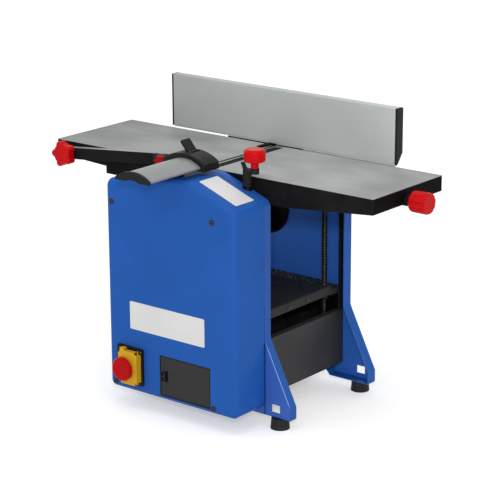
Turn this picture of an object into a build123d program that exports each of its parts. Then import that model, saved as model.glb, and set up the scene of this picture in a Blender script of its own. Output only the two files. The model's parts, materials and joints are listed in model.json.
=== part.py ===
from build123d import *
import os
from math import atan2, cos, degrees, hypot, radians, sin, tan

# A bench-size combined surface planer and thicknesser, in millimetres.
# +Z is up, the operator stands on the -Y side, and the infeed table is on the +X side.
# The origin is on the floor, in the middle of the four feet. The cutter axis crosses X = 0.

os.makedirs("parts", exist_ok=True)

# Clearances
run_fit = 0.06            # radial, shaft in its bore
slide_fit = 0.3           # between faces that pass each other
seat_fit = 0.05           # between pieces fixed to each other

# Planing tables
table_length = 737.0      # both tables, over the ends
table_width = 210.0
table_top = 454.0         # height above the floor
table_plate = 12.0
table_offset = 6.0        # tables stand this much nearer to the operator than the panels' middle
skirt_wall = 8.0
rib_wall = 6.0
lip_gap = 41.0            # between the two table lips
lip_edge = 5.0
lip_run = 42.0            # length of the bevel under a lip
lip_drop = 18.0           # depth of a table side beside the cutter
table_end_depth = 28.5
infeed_depth = 45.0       # deepest place of the infeed table's side
infeed_depth_x = 190.0
outfeed_depth = 40.0      # depth of the outfeed table's side at its seat
outfeed_depth_x = 150.0
stop_block_x = -219.5     # block below the outfeed table
stop_block_length = 49.0
stop_block_drop = 12.0

# Side panels
side_room = 27.0          # mean distance from a table edge to a panel's outer face
sheet = 2.0
fold_r = 2.8
front_flange = 18.0
rear_flange = 24.0
body_width = 302.0
leg_spread = 419.0        # over the outer edges of the legs
leg_top = 163.0
knee_z = 44.5
foot_height = 20.0
leg_sole = 90.0           # length of the flange below a leg
arch_slope = 12.5
arch_z = 34.0
shoulder_drop = 22.4      # left shoulder below the top
crest_x = 20.0
facet_x = 48.0            # where the sloped facet starts
facet_drop = 38.1
shoulder_r = 17.0
facet_r = 15.0
window_width = 19.0
window_height = 15.0
window_x = 176.5
window_z = 37.5

# Feet and bench bolts
bolt_spacing_x = 360.0
bolt_inset = 8.5          # bolt line inside a panel's outer face
bolt_hole_r = 4.25
foot_r = 17.75
foot_top_r = 16.0

# Front drive cover
cover_depth = 82.7
cover_sheet = 2.0
cover_bottom = 33.0
cover_edge_r = 10.0
cover_corner_r = 12.0
post_r = 4.5
post_x_left = -136.0
post_x_right = 100.0
post_z_low = 44.5
post_z_high = 390.0
cover_screw_r = 2.0
cover_screw_head_r = 4.5
cover_screw_head = 2.4
cover_screw_length = 14.0
plate_width = 177.0
plate_height = 53.0
plate_x = -7.5
plate_z = 182.5
plate_thickness = 1.0
plate_r = 2.5
label_length = 95.0
label_width = 50.0
label_thickness = 0.6
label_y_front = 22.0      # from the cover's front to the label

# Storage door and tray
door_x = 33.2
door_z = 80.2
tray_width = 119.4
tray_height = 77.6
tray_depth = 50.0
tray_wall = 2.0
door_gap = 0.5
door_thickness = 3.0
door_recess = 0.5
door_pin_r = 1.25
door_pin_inset = 4.0
catch_width = 11.0
catch_height = 17.0
catch_inset = 5.0

# Switch
switch_x = -96.0
switch_z = 85.2
switch_width = 62.0
switch_height = 71.5
switch_plate = 4.3
switch_body_depth = 42.0
switch_body_inset = 6.0
flap_x = -91.0
flap_z = 86.5
flap_width = 45.0
flap_height = 68.0
flap_depth = 12.5
flap_wall = 2.5
flap_pin_r = 1.5
flap_pin_y = 5.0          # pin in front of the switch plate
flap_pin_drop = 3.0
flap_ear = 4.0
flap_notch = 6.0
mushroom_x = -98.0
mushroom_z = 83.0
mushroom_r = 22.3
mushroom_height = 8.0
mushroom_gap = 4.0        # head in front of the flap
stop_stem_r = 6.0
button_r = 8.0
button_height = 3.0
button_depth = 6.0
on_button_z = 96.0
off_button_z = 72.0

# Cutter block
cutting_r = 25.0
cutter_r = 24.0
cutter_clear = 4.0        # end of the block to the table edge line
cutter_journal_r = 10.0
cutter_nose_r = 8.0
bearing_r = 19.0
bearing_depth = 17.0
knife_thickness = 2.0
knife_height = 15.0
wedge_thickness = 7.0
wedge_drop = 4.0          # wedge below the cutting edge

# Motor and belt
motor_z = 104.0
motor_r = 52.0
motor_wall = 9.0
motor_front_gap = 12.0    # front shield behind the panel
motor_gap = 18.0          # rear shield to the gearbox
motor_fin = 4.0
motor_fins = 28
motor_shaft_r = 9.0
rotor_r = 40.0
motor_pulley_r = 40.0
cutter_pulley_r = 14.0
pulley_width = 16.0
pulley_gap = 9.0          # pulley in front of the panel
groove_depth = 3.5
belt_width = 12.0
belt_thickness = 5.0
belt_lift = 0.5

# Feed rollers and their drive behind the rear panel
roller_x = 46.0
roller_r = 11.0
roller_z = 414.0
roller_journal_r = 5.0
roller_block = 22.0
roller_block_depth = 14.0
feed_sprocket_r = 16.0
box_sprocket_r = 10.0
sprocket_width = 5.0
feed_plane = 3.0          # first sprocket behind the panel
feed_plane_step = 8.0
chain_thickness = 4.0
chain_lift = 0.4
gearbox_length = 50.0
gearbox_width = 104.0
gearbox_height = 76.0
gearbox_x = 24.0
rear_cover_depth = 22.0
rear_cover_sheet = 1.5
rear_cover_margin = 9.0

# Kickback pawls
pawl_x = -80.0
pawl_z = 424.0
pawl_rod_r = 4.0
pawl_eye_r = 7.5
pawl_length = 21.0
pawl_thickness = 6.0
pawl_pitch = 10.0
pawl_count = 20

# Thicknessing table and its lift
bed_length = 260.0
bed_width = 204.0
bed_top = 204.0           # lowest position, as at rest
bed_depth = 17.0
bed_plate = 8.0
bed_skirt = 6.0
lug_length = 28.0
lug_top_drop = 8.0
lug_height = 11.0
lug_wall = 5.0            # beyond the rear guides
bed_rail_drop = 3.0       # rail along the table's far edge, below its top
bed_rail_gap = 2.5        # to the ring of the dust outlet
guide_x = 104.5
guide_wall = 9.0          # front guide axis to the panel's inner face, rear one to the table edge line
screw_r = 6.0
column_r = 8.0
lift_nut_r = 8.5
lift_nut_height = 12.0
bush_r = 8.5
bush_height = 12.0
collar_height = 6.0
lift_sprocket_r = 9.0
lift_chain_room = 2.0     # round the chain in the front panel's window
lift_sprocket_height = 6.0
edge_screw_r = 2.4
edge_screw_y = 27.0

# Inclined ways and depth adjustment
way_angle = 15.0
way_x_in = 84.0
way_length = 56.0
way_depth = 27.0
way_bottom = 398.0
way_face_in = 425.0       # height of the inclined face at its inner end
depth_screw_r = 5.0
depth_knob_r = 19.5
depth_knob_flats = 8
depth_knob_length = 36.0
depth_knob_gap = 9.0
depth_knob_round = 1.5
depth_knob_bevel = 3.5
depth_boss_r = 11.0
depth_screw_drop = 23.0   # screw axis below the table top
bar_x = 100.0
bar_width = 8.0
bar_height = 13.0
bar_lift = 3.0
nut_width = 14.0
nut_height = 12.0
nut_cheek = 3.5
nut_cheek_lap = 4.0
prong_width = 9.0

# Height crank
crank_hub_r = 8.0
hub_clear = 0.6           # radial, hub in the facet's flange
crank_lift = 4.0          # hub above the facet
crank_throw = 17.0
crank_arm_height = 6.0
crank_arm_width = 12.0
crank_table_gap = 8.5     # arm above the table top
crank_collar_r = 8.0
crank_collar_height = 4.0
crank_pin_r = 4.0
crank_pin_length = 24.0
horn_width = 7.0
horn_height = 17.0
horn_reach = 9.0
grip_neck_r = 7.2
grip_neck = 12.0
grip_r = 19.5
grip_height = 22.5
grip_round = 6.0

# Fence
fence_length = 532.0
fence_height = 102.0
fence_thickness = 19.0
fence_x = 2.0
fence_gap = 3.0           # above the table
fence_back_gap = 4.3      # behind the tables' far edge
fence_wall = 3.0
fence_cap = 4.0
fence_chamfer_height = 19.0
fence_chamfer_depth = 14.0
hinge_x = -98.0
hinge_width = 40.0
hinge_inset = 6.3         # hinge axis in front of the fence's back
hinge_z_gap = 1.0         # hinge axis above the table
hinge_pin_r = 4.0
hinge_barrel_r = 6.5
ear_width = 6.0
ear_r = 6.8
bracket_plate = 4.0
bracket_height = 55.0
bracket_top_drop = 4.0    # bracket plate below the table top
bracket_lap = 6.0
carrier_height = 50.0
carrier_plate = 5.0
fence_lever_reach = 46.0
fence_lever_drop = 2.0
fence_lever_hub = 12.0
fence_lever_width = 6.0
fence_lever_ball_r = 8.0

# Guard
arm_pivot_inset = 35.5    # pivot to the outfeed table's end
arm_pivot_z = 433.5
arm_tip_x = -60.0
arm_tip_z = 460.0
arm_height = 22.0
arm_thickness = 12.0
arm_table_gap = 2.0
pivot_stud_r = 4.0
pivot_knob_r = 24.8
pivot_knob_height = 16.0
pivot_knob_lobes = 5
clamp_x = -84.0
clamp_stud_r = 3.0
clamp_knob_r = 11.0
clamp_knob_height = 10.0
clamp_knob_lobes = 6
bar_guard_width = 74.0
bar_guard_side = 3.0      # height of the bar's upright sides
bar_guard_rise = 12.0     # crown above the sides
bar_guard_z = 467.0
bar_guard_wall = 3.0
bar_guard_lip = 12.0
bar_reach = 197.0         # from the near table edge to the bar's near end
guard_cap = 6.0
guard_cap_proud = 1.5
saddle_length = 42.0
saddle_setback = 14.0     # in front of the arm's back
saddle_wall = 5.0         # below the bar
saddle_left = 15.0        # beside the bar
saddle_right = 8.0
saddle_top = 8.0          # above the bar
saddle_shoulder = 8.0     # where the crown starts, above the bar's foot
tongue_thickness = 8.0
tongue_height = 20.0
tongue_length = 62.0
lever_width = 22.0
lever_length = 27.0
lever_thickness = 5.0
lever_eye_r = 3.4
lever_pin_r = 1.5
lever_angle = 49.0
lever_x = -3.7
lever_setback = 15.0      # lever's middle in front of the saddle's back
lever_sink = 3.2          # pin below the saddle's crown
lever_ear = 3.0           # length of the pin in the saddle
lever_ear_gap = 0.5
lever_room_left = 7.5     # slot beside the pin
lever_room_right = 11.0

# Dust outlet and cable gland
port_x = -47.0
port_z = 320.0
port_r = 50.0
port_wall = 3.0
port_length = 44.0
port_flange_r = 58.0
port_flange = 4.0
port_ring = 4.0           # thickness of the clamping ring
cap_disc = 2.5
cap_plug = 10.0
cap_grip = 10.0
gland_x = -100.0
gland_z = 70.0
gland_r = 9.0
gland_nut_r = 12.0
gland_length = 14.0
gland_bore_r = 4.0

# Aprons and shelf
shelf_z = 45.0
apron_x = 134.0
apron_bottom = 44.0
apron_top = 151.0
apron_tab = 13.0

# Places worked out from the sizes above
panel_out = table_width / 2 + side_room
panel_in = panel_out - sheet
bolt_spacing_y = 2 * (panel_out - bolt_inset)
body_half = body_width / 2
leg_half = leg_spread / 2
arch_half = leg_half - leg_sole - arch_slope
body_top = table_top
facet_low = body_top - facet_drop
facet_slope = facet_drop / (body_half - facet_x)
shelf_top = shelf_z + sheet
lift_sprocket_z = shelf_top + bush_height + slide_fit + collar_height
near_y = -table_offset - table_width / 2
far_y = -table_offset + table_width / 2
table_half = table_length / 2
arm_pivot_x = arm_pivot_inset - table_half
lip_x = lip_gap / 2
cover_front = panel_out + cover_depth
cutter_z = table_top - cutting_r
front_guide_y = -(panel_in - guide_wall)
rear_guide_y = far_y + guide_wall
guide_ys = (front_guide_y, rear_guide_y)
way_tan = tan(radians(way_angle))
way_x_out = way_x_in + way_length
way_face_out = way_face_in - way_length * way_tan
feed_y = panel_out + feed_plane
link_y = feed_y + feed_plane_step
roller_end_y = link_y + sprocket_width + 1


def outline_face(points, radii):
    """A sketch face inside a closed line with rounded corners."""
    with BuildLine() as line:
        FilletPolyline(*points, radius=radii, close=True)
    return make_face(line.edges())


def lobed_knob(radius, lobes, height, stud_r, stud_length, first=0, rounding=2.5):
    """A knob with rounded lobes on the +Z axis, the first at an angle, with its stud below it."""
    waist = 0.78
    lobe = 0.28
    with BuildPart() as knob:
        with BuildSketch() as outline:
            Circle(radius * waist)
            with PolarLocations(radius * (1 - lobe), lobes, start_angle=first):
                Circle(radius * lobe)
            fillet(outline.vertices(), radius * 0.08)
        extrude(amount=height)
        fillet(knob.faces().sort_by(Axis.Z)[-1].edges(), rounding)
        with Locations((0, 0, -stud_length)):
            Cylinder(stud_r, stud_length, align=(Align.CENTER, Align.CENTER, Align.MIN))
    return knob.part


def loop_band(plane, places, radii, inner_lift, thickness, width):
    """A closed belt or chain band round two wheels, in a plane of its own."""
    with BuildPart() as band:
        for lift, mode in ((inner_lift + thickness, Mode.ADD), (inner_lift, Mode.SUBTRACT)):
            with BuildSketch(plane) as hull:
                for place, radius in zip(places, radii):
                    with Locations(place):
                        Circle(radius + lift)
                make_hull()
            extrude(hull.sketch, amount=width, mode=mode)
    return band.part


# Side panels: a pressed tray of sheet with an inward flange all round
panel_points = [
    (-leg_half, foot_height), (-leg_half, knee_z), (-body_half, leg_top),
    (-body_half, body_top - shoulder_drop), (crest_x, body_top), (facet_x, body_top),
    (body_half, facet_low), (body_half, leg_top), (leg_half, knee_z), (leg_half, foot_height),
    (leg_half - leg_sole, foot_height), (arch_half, arch_z), (-arch_half, arch_z),
    (-leg_half + leg_sole, foot_height),
]
panel_radii = [3, 12, 20, shoulder_r, 12, 12, facet_r, 20, 12, 3, 3, 10, 10, 3]


def panel_tray(side, flange):
    """One side panel with a flange of some depth; side is 1 at the front and -1 at the rear."""
    with BuildPart() as tray:
        with BuildSketch(Plane.XZ.offset(side * panel_out)):
            outline_face(panel_points, panel_radii)
        extrude(amount=-side * flange)
        outer_faces = tray.faces().sort_by(Axis.Y)
        fillet((outer_faces[0] if side > 0 else outer_faces[-1]).edges(), fold_r)
        with BuildSketch(Plane.XZ.offset(side * panel_in)):
            outline_face(panel_points, panel_radii)
            offset(amount=-sheet)
        extrude(amount=-side * (flange - sheet), mode=Mode.SUBTRACT)
        with BuildSketch(Plane.XZ.offset(side * panel_out)):
            with Locations((-window_x, window_z), (window_x, window_z)):
                RectangleRounded(window_width, window_height, 1.5)
        extrude(amount=-side * sheet, mode=Mode.SUBTRACT)
        with Locations(*[(x, -side * bolt_spacing_y / 2, foot_height + sheet / 2)
                         for x in (-bolt_spacing_x / 2, bolt_spacing_x / 2)]):
            Cylinder(bolt_hole_r, 2 * sheet, mode=Mode.SUBTRACT)
    return tray.part


with BuildPart() as front_side_panel:
    add(panel_tray(1, front_flange))
    with BuildSketch(Plane.XZ.offset(panel_out)):
        with Locations((0, cutter_z)):
            Circle(cutter_journal_r + 2)
        with Locations((0, motor_z)):
            Circle(motor_shaft_r + 4)
    extrude(amount=-sheet, mode=Mode.SUBTRACT)
    # Window for the lift chain
    with Locations((guide_x, -panel_in, lift_sprocket_z + lift_sprocket_height / 2)):
        Box(2 * (lift_sprocket_r + chain_lift + chain_thickness + lift_chain_room), 4 * sheet,
            lift_sprocket_height + 2 * lift_chain_room, mode=Mode.SUBTRACT)
    # Clearance hole for the height screw in the facet's flange
    with Locations((guide_x, front_guide_y, body_top - facet_slope * (guide_x - facet_x))):
        Cylinder(crank_hub_r + hub_clear, 20, mode=Mode.SUBTRACT)
front_side_panel.part.label = "front_side_panel"
export_step(front_side_panel.part, "parts/front_side_panel.step")

with BuildPart() as rear_side_panel:
    add(panel_tray(-1, rear_flange))
    with BuildSketch(Plane.XZ.offset(-panel_out)):
        with Locations((port_x, port_z)):
            Circle(port_r - port_wall)
        with Locations((-roller_x, roller_z), (roller_x, roller_z)):
            Circle(roller_journal_r + 2)
        with Locations((roller_x, motor_z)):
            Circle(roller_journal_r + 2)
        with Locations((gland_x, gland_z)):
            Circle(gland_r)
    extrude(amount=sheet, mode=Mode.SUBTRACT)
rear_side_panel.part.label = "rear_side_panel"
export_step(rear_side_panel.part, "parts/rear_side_panel.step")

# Shelf and aprons between the panels
with BuildPart() as base_shelf:
    with Locations((0, 0, shelf_z)):
        Box(2 * (apron_x - sheet), 2 * panel_in, sheet, align=(Align.CENTER, Align.CENTER, Align.MIN))
    # Corners cut out for the tabs of the aprons
    with Locations(*[(x * (apron_x - apron_tab / 2), y * (panel_in - sheet / 2), shelf_z)
                     for x in (-1, 1) for y in (-1, 1)]):
        Box(apron_tab + 2 * seat_fit, sheet + 2 * seat_fit, 4 * sheet, mode=Mode.SUBTRACT)
    # Bushes for the lift screws
    with Locations(*[(guide_x, y, shelf_top) for y in guide_ys]):
        Cylinder(bush_r, bush_height, align=(Align.CENTER, Align.CENTER, Align.MIN))
        Cylinder(screw_r + run_fit, 3 * bush_height, mode=Mode.SUBTRACT)
base_shelf.part.label = "base_shelf"
export_step(base_shelf.part, "parts/base_shelf.step")


def apron(side):
    """A dark cross plate with a tab at each end; side is 1 at the infeed end."""
    with BuildPart() as plate:
        with BuildSketch(Plane.XY.offset(apron_bottom)):
            with Locations((side * (apron_x - sheet / 2), 0)):
                Rectangle(sheet, 2 * panel_in)
            for end in (-1, 1):
                with Locations((side * (apron_x - apron_tab / 2), end * (panel_in - sheet / 2))):
                    Rectangle(apron_tab, sheet)
        extrude(amount=apron_top - apron_bottom)
        with Locations((side * (apron_x - apron_tab / 2), 0, apron_top - sheet / 2)):
            Box(apron_tab, 2 * panel_in, sheet)
    return plate.part


with BuildPart() as end_aprons:
    add(apron(1))
    add(apron(-1))
end_aprons.part.label = "end_aprons"
export_step(end_aprons.part, "parts/end_aprons.step")

# Rubber feet below the legs
with BuildPart() as rubber_feet:
    with GridLocations(bolt_spacing_x, bolt_spacing_y, 2, 2):
        Cone(foot_r, foot_top_r, foot_height, align=(Align.CENTER, Align.CENTER, Align.MIN))
        Cylinder(bolt_hole_r, 3 * foot_height, mode=Mode.SUBTRACT)
rubber_feet.part.label = "rubber_feet"
export_step(rubber_feet.part, "parts/rubber_feet.step")

# Front drive cover: an open-backed shell with the panel's top outline
cover_points = [
    (-body_half, cover_bottom), (-body_half, body_top - shoulder_drop), (crest_x, body_top),
    (facet_x, body_top), (body_half, facet_low), (body_half, cover_bottom),
]
cover_radii = [cover_corner_r, shoulder_r, 12, 12, facet_r, cover_corner_r]
post_places = [(x, z) for x in (post_x_left, post_x_right) for z in (post_z_low, post_z_high)]

with BuildPart() as front_cover:
    with BuildSketch(Plane.XZ.offset(panel_out)):
        outline_face(cover_points, cover_radii)
    extrude(amount=cover_depth)
    fillet(front_cover.faces().sort_by(Axis.Y)[0].edges(), cover_edge_r)
    offset(amount=-cover_sheet, openings=front_cover.faces().sort_by(Axis.Y)[-1])
    # Screw posts inside the shell
    with BuildSketch(Plane.XZ.offset(panel_out)):
        with Locations(*post_places):
            Circle(post_r)
    extrude(amount=cover_depth - cover_sheet / 2)
    with BuildSketch(Plane.XZ.offset(cover_front)):
        with Locations((door_x, door_z)):
            Rectangle(tray_width + 2 * seat_fit, tray_height + 2 * seat_fit)
        with Locations((switch_x, switch_z)):
            Rectangle(switch_width - 2 * switch_body_inset + 2 * seat_fit,
                      switch_height - 2 * switch_body_inset + 2 * seat_fit)
    extrude(amount=-2 * cover_sheet, mode=Mode.SUBTRACT)
    with BuildSketch(Plane.XZ.offset(cover_front)):
        with Locations(*post_places):
            Circle(cover_screw_r + seat_fit)
    extrude(amount=-cover_screw_length - 1, mode=Mode.SUBTRACT)
front_cover.part.label = "front_cover"
export_step(front_cover.part, "parts/front_cover.step")

with BuildPart() as cover_screws:
    with BuildSketch(Plane.XZ.offset(cover_front)):
        with Locations(*post_places):
            Circle(cover_screw_head_r)
    extrude(amount=cover_screw_head)
    fillet(cover_screws.faces().group_by(Axis.Y)[0].edges(), cover_screw_head / 2)
    with BuildSketch(Plane.XZ.offset(cover_front)):
        with Locations(*post_places):
            Circle(cover_screw_r)
    extrude(amount=-cover_screw_length)
cover_screws.part.label = "cover_screws"
export_step(cover_screws.part, "parts/cover_screws.step")

# Bare plate on the cover's front, and bare label on its facet
facet_run = hypot(body_half - facet_x, facet_drop)
facet_plane = Plane(
    origin=((facet_x + body_half) / 2, -cover_front + label_y_front + label_width / 2, (body_top + facet_low) / 2),
    x_dir=(body_half - facet_x, 0, -facet_drop),
    z_dir=(facet_drop, 0, body_half - facet_x),
)

with BuildPart() as bare_plates:
    with BuildSketch(Plane.XZ.offset(cover_front)):
        with Locations((plate_x, plate_z)):
            RectangleRounded(plate_width, plate_height, plate_r)
    extrude(amount=plate_thickness)
    with BuildSketch(facet_plane):
        with Locations((-(facet_run - label_length) / 2 + 3, 0)):
            RectangleRounded(label_length - 6, label_width, 2)
    extrude(amount=label_thickness)
bare_plates.part.label = "bare_plates"
export_step(bare_plates.part, "parts/bare_plates.step")

# Storage tray in the cover, with its door
tray_front = cover_front
pin_x = door_x + tray_width / 2 - tray_wall - door_gap - door_pin_inset
pin_y = -(tray_front - door_recess - door_thickness / 2)
door_width = tray_width - 2 * tray_wall - 2 * door_gap
door_height = tray_height - 2 * tray_wall - 2 * door_gap

with BuildPart() as storage_tray:
    with BuildSketch(Plane.XZ.offset(tray_front)):
        with Locations((door_x, door_z)):
            Rectangle(tray_width, tray_height)
    extrude(amount=-tray_depth)
    with BuildSketch(Plane.XZ.offset(tray_front)):
        with Locations((door_x, door_z)):
            Rectangle(tray_width - 2 * tray_wall, tray_height - 2 * tray_wall)
    extrude(amount=-(tray_depth - tray_wall), mode=Mode.SUBTRACT)
    with Locations((pin_x, pin_y, door_z)):
        Cylinder(door_pin_r + run_fit, tray_height + 2, mode=Mode.SUBTRACT)
storage_tray.part.label = "storage_tray"
export_step(storage_tray.part, "parts/storage_tray.step")

with BuildPart() as storage_door:
    with BuildSketch(Plane.XZ.offset(tray_front - door_recess)):
        with Locations((door_x, door_z)):
            Rectangle(door_width, door_height)
        # Spring tongue of the finger catch, cut free on three sides
        with Locations((door_x - door_width / 2 + catch_inset + catch_width / 2, door_z)):
            Rectangle(catch_width, catch_height, mode=Mode.SUBTRACT)
        with Locations((door_x - door_width / 2 + catch_inset + catch_width / 2 + 0.75, door_z)):
            Rectangle(catch_width - 1.5, catch_height - 3)
    extrude(amount=-door_thickness)
    with Locations((pin_x, pin_y, door_z)):
        Cylinder(door_pin_r, door_height + 2 * (door_gap + tray_wall) - 1)
storage_door.part.label = "storage_door"
export_step(storage_door.part, "parts/storage_door.step")

# Switch: base with a body behind the cover, flap, stop button and two press buttons
switch_front = cover_front + switch_plate
flap_front = switch_front + 0.5 + flap_depth
flap_pin_z = flap_z + flap_height / 2 - flap_pin_drop
flap_ear_x = flap_width / 2 + slide_fit + flap_ear / 2

with BuildPart() as switch_base:
    with BuildSketch(Plane.XZ.offset(cover_front)):
        with Locations((switch_x, switch_z)):
            RectangleRounded(switch_width, switch_height, 3)
    extrude(amount=switch_plate)
    with BuildSketch(Plane.XZ.offset(cover_front)):
        with Locations((switch_x, switch_z)):
            Rectangle(switch_width - 2 * switch_body_inset, switch_height - 2 * switch_body_inset)
    extrude(amount=-switch_body_depth)
    # Hinge ears beside the flap
    with Locations(*[(flap_x + side * flap_ear_x, -(switch_front + flap_pin_y / 2 + 1.5), flap_pin_z)
                     for side in (-1, 1)]):
        Box(flap_ear, flap_pin_y + 3, 7)
    with Locations((flap_x, -(switch_front + flap_pin_y), flap_pin_z)):
        Cylinder(flap_pin_r + run_fit, flap_width + 3 * flap_ear, rotation=(0, 90, 0), mode=Mode.SUBTRACT)
    with BuildSketch(Plane.XZ.offset(switch_front)):
        with Locations((flap_x, on_button_z), (flap_x, off_button_z)):
            Circle(button_r + slide_fit)
    extrude(amount=-(button_depth + 4), mode=Mode.SUBTRACT)
switch_base.part.label = "switch_base"
export_step(switch_base.part, "parts/switch_base.step")


def press_button(z):
    """A round push button in the switch base."""
    with BuildPart() as button:
        with BuildSketch(Plane.XZ.offset(switch_front + button_height)):
            with Locations((flap_x, z)):
                Circle(button_r)
        extrude(amount=-(button_height + button_depth))
        fillet(button.faces().sort_by(Axis.Y)[0].edges(), 1)
    return button.part


with BuildPart() as on_button:
    add(press_button(on_button_z))
on_button.part.label = "on_button"
export_step(on_button.part, "parts/on_button.step")

with BuildPart() as off_button:
    add(press_button(off_button_z))
off_button.part.label = "off_button"
export_step(off_button.part, "parts/off_button.step")

with BuildPart() as switch_flap:
    with BuildSketch(Plane.XZ.offset(switch_front + 0.5)):
        with Locations((flap_x, flap_z)):
            RectangleRounded(flap_width, flap_height, 4)
    extrude(amount=flap_depth)
    fillet(switch_flap.faces().sort_by(Axis.Y)[0].edges(), 1.5)
    with BuildSketch(Plane.XZ.offset(switch_front + 0.5)):
        with Locations((flap_x, flap_z)):
            Rectangle(flap_width - 2 * flap_wall, flap_height - 2 * flap_wall)
    extrude(amount=flap_depth - flap_wall, mode=Mode.SUBTRACT)
    # The back edge is cut away beside the hinge, so that the flap can lift
    with Locations((flap_x, -(switch_front + 1.25), flap_z + flap_height / 2)):
        Box(flap_width + 2, 1.5, 4 * flap_pin_drop, mode=Mode.SUBTRACT)
    # Lower corners are cut back to show the base
    with Locations(*[(flap_x + side * flap_width / 2, -flap_front, flap_z - flap_height / 2) for side in (-1, 1)]):
        Box(2 * flap_notch, 4 * flap_depth, 2 * flap_notch, mode=Mode.SUBTRACT)
    # Notch in the middle of the top edge
    with Locations((flap_x, -flap_front, flap_z + flap_height / 2)):
        Box(flap_width / 3, 8, 6, mode=Mode.SUBTRACT)
    with Locations(*[(flap_x + side * (flap_width / 2 + flap_ear / 2 - 0.5),
                      -(switch_front + flap_pin_y), flap_pin_z) for side in (-1, 1)]):
        Cylinder(flap_pin_r, flap_ear + 1, rotation=(0, 90, 0))
    with BuildSketch(Plane.XZ.offset(flap_front)):
        with Locations((mushroom_x, mushroom_z)):
            Circle(stop_stem_r + slide_fit)
    extrude(amount=-2 * flap_wall, mode=Mode.SUBTRACT)
switch_flap.part.label = "switch_flap"
export_step(switch_flap.part, "parts/switch_flap.step")

with BuildPart() as stop_button:
    with BuildSketch(Plane.XZ.offset(flap_front + mushroom_gap)):
        with Locations((mushroom_x, mushroom_z)):
            Circle(mushroom_r)
    extrude(amount=mushroom_height)
    fillet(stop_button.faces().sort_by(Axis.Y)[0].edges(), mushroom_height * 0.6)
    with BuildSketch(Plane.XZ.offset(flap_front + mushroom_gap)):
        with Locations((mushroom_x, mushroom_z)):
            Circle(stop_stem_r)
    extrude(amount=-(mushroom_gap + flap_wall + 3))
stop_button.part.label = "stop_button"
export_step(stop_button.part, "parts/stop_button.step")


# Planing tables: a plate with a skirt round it and ribs below
def table_casting(side, sole_points, ribs, rib_hole):
    """One table; side is 1 for infeed. sole_points is the lower line of its sides, cutter to end."""
    with BuildPart() as table:
        end_x = side * table_half
        side_line = [(side * lip_x, table_top), (end_x, table_top)] + list(reversed(sole_points)) + [
            (side * lip_x, table_top - lip_edge)]
        with BuildSketch(Plane.XZ.offset(-far_y)):
            with BuildLine():
                Polyline(*side_line, close=True)
            make_face()
        extrude(amount=table_width)
        # Hollow below the plate
        inner_x = lip_x + lip_run
        hollow_length = table_half - skirt_wall - inner_x
        with Locations((side * (inner_x + hollow_length / 2), -table_offset, table_top - table_plate)):
            Box(hollow_length, table_width - 2 * skirt_wall, 4 * infeed_depth,
                align=(Align.CENTER, Align.CENTER, Align.MAX), mode=Mode.SUBTRACT)
        for x in ribs:
            rib_depth = table_end_depth - table_plate
            with Locations((side * x, -table_offset, table_top - table_plate - rib_depth / 2)):
                Box(rib_wall, table_width - 2 * skirt_wall, rib_depth)
        if rib_hole > 0:
            with Locations((side * table_half, -table_offset, table_top - depth_screw_drop)):
                Cylinder(rib_hole, 2 * (table_half - inner_x - 20), rotation=(0, 90, 0), mode=Mode.SUBTRACT)
    return table.part


infeed_sole = [
    (lip_x + lip_run, table_top - lip_drop), (way_x_in - 4, way_face_in + 4 * way_tan),
    (way_x_out + 4, way_face_out - 4 * way_tan), (infeed_depth_x, table_top - infeed_depth),
    (table_half, table_top - table_end_depth),
]
outfeed_seat_z = table_top - outfeed_depth
outfeed_sole = [
    (-lip_x - lip_run, table_top - lip_drop), (pawl_x - pawl_eye_r - 2, table_top - lip_drop),
    (pawl_x - pawl_eye_r - 3, outfeed_seat_z),
    (-outfeed_depth_x, outfeed_seat_z), (-table_half, table_top - table_end_depth),
]

with BuildPart() as infeed_table:
    add(table_casting(1, infeed_sole, (230, 310), depth_screw_r + 3))
    # Boss that carries the depth screw at the table end
    with Locations((table_half - skirt_wall, -table_offset, table_top - depth_screw_drop)):
        Cylinder(depth_boss_r, skirt_wall + depth_knob_gap - 1, rotation=(0, 90, 0),
                 align=(Align.CENTER, Align.CENTER, Align.MIN))
    with Locations((table_half, -table_offset, table_top - depth_screw_drop)):
        Cylinder(depth_screw_r + run_fit, 8 * skirt_wall, rotation=(0, 90, 0), mode=Mode.SUBTRACT)
infeed_table.part.label = "infeed_table"
export_step(infeed_table.part, "parts/infeed_table.step")

with BuildPart() as outfeed_table:
    add(table_casting(-1, outfeed_sole, (230, 310), 0))
    # Stop block below the near side
    with Locations((stop_block_x, near_y + skirt_wall, table_top - infeed_depth + 8)):
        Box(stop_block_length, 2 * skirt_wall, 2 * stop_block_drop)
    # Tapped hole for the guard pivot
    with Locations((arm_pivot_x, near_y, arm_pivot_z)):
        Cylinder(pivot_stud_r + run_fit, 3 * skirt_wall, rotation=(90, 0, 0), mode=Mode.SUBTRACT)
outfeed_table.part.label = "outfeed_table"
export_step(outfeed_table.part, "parts/outfeed_table.step")

# Blocks on the panels that carry the tables and hold the tops of the guides
block_ys = ((-panel_in, -panel_in + way_depth), (far_y - skirt_wall, panel_in))

nut_z = table_top - depth_screw_drop
nut_y = -table_offset
bar_low = way_bottom + bar_lift
bar_ends = (block_ys[0][1] - 1, block_ys[1][0] + 1)

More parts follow.
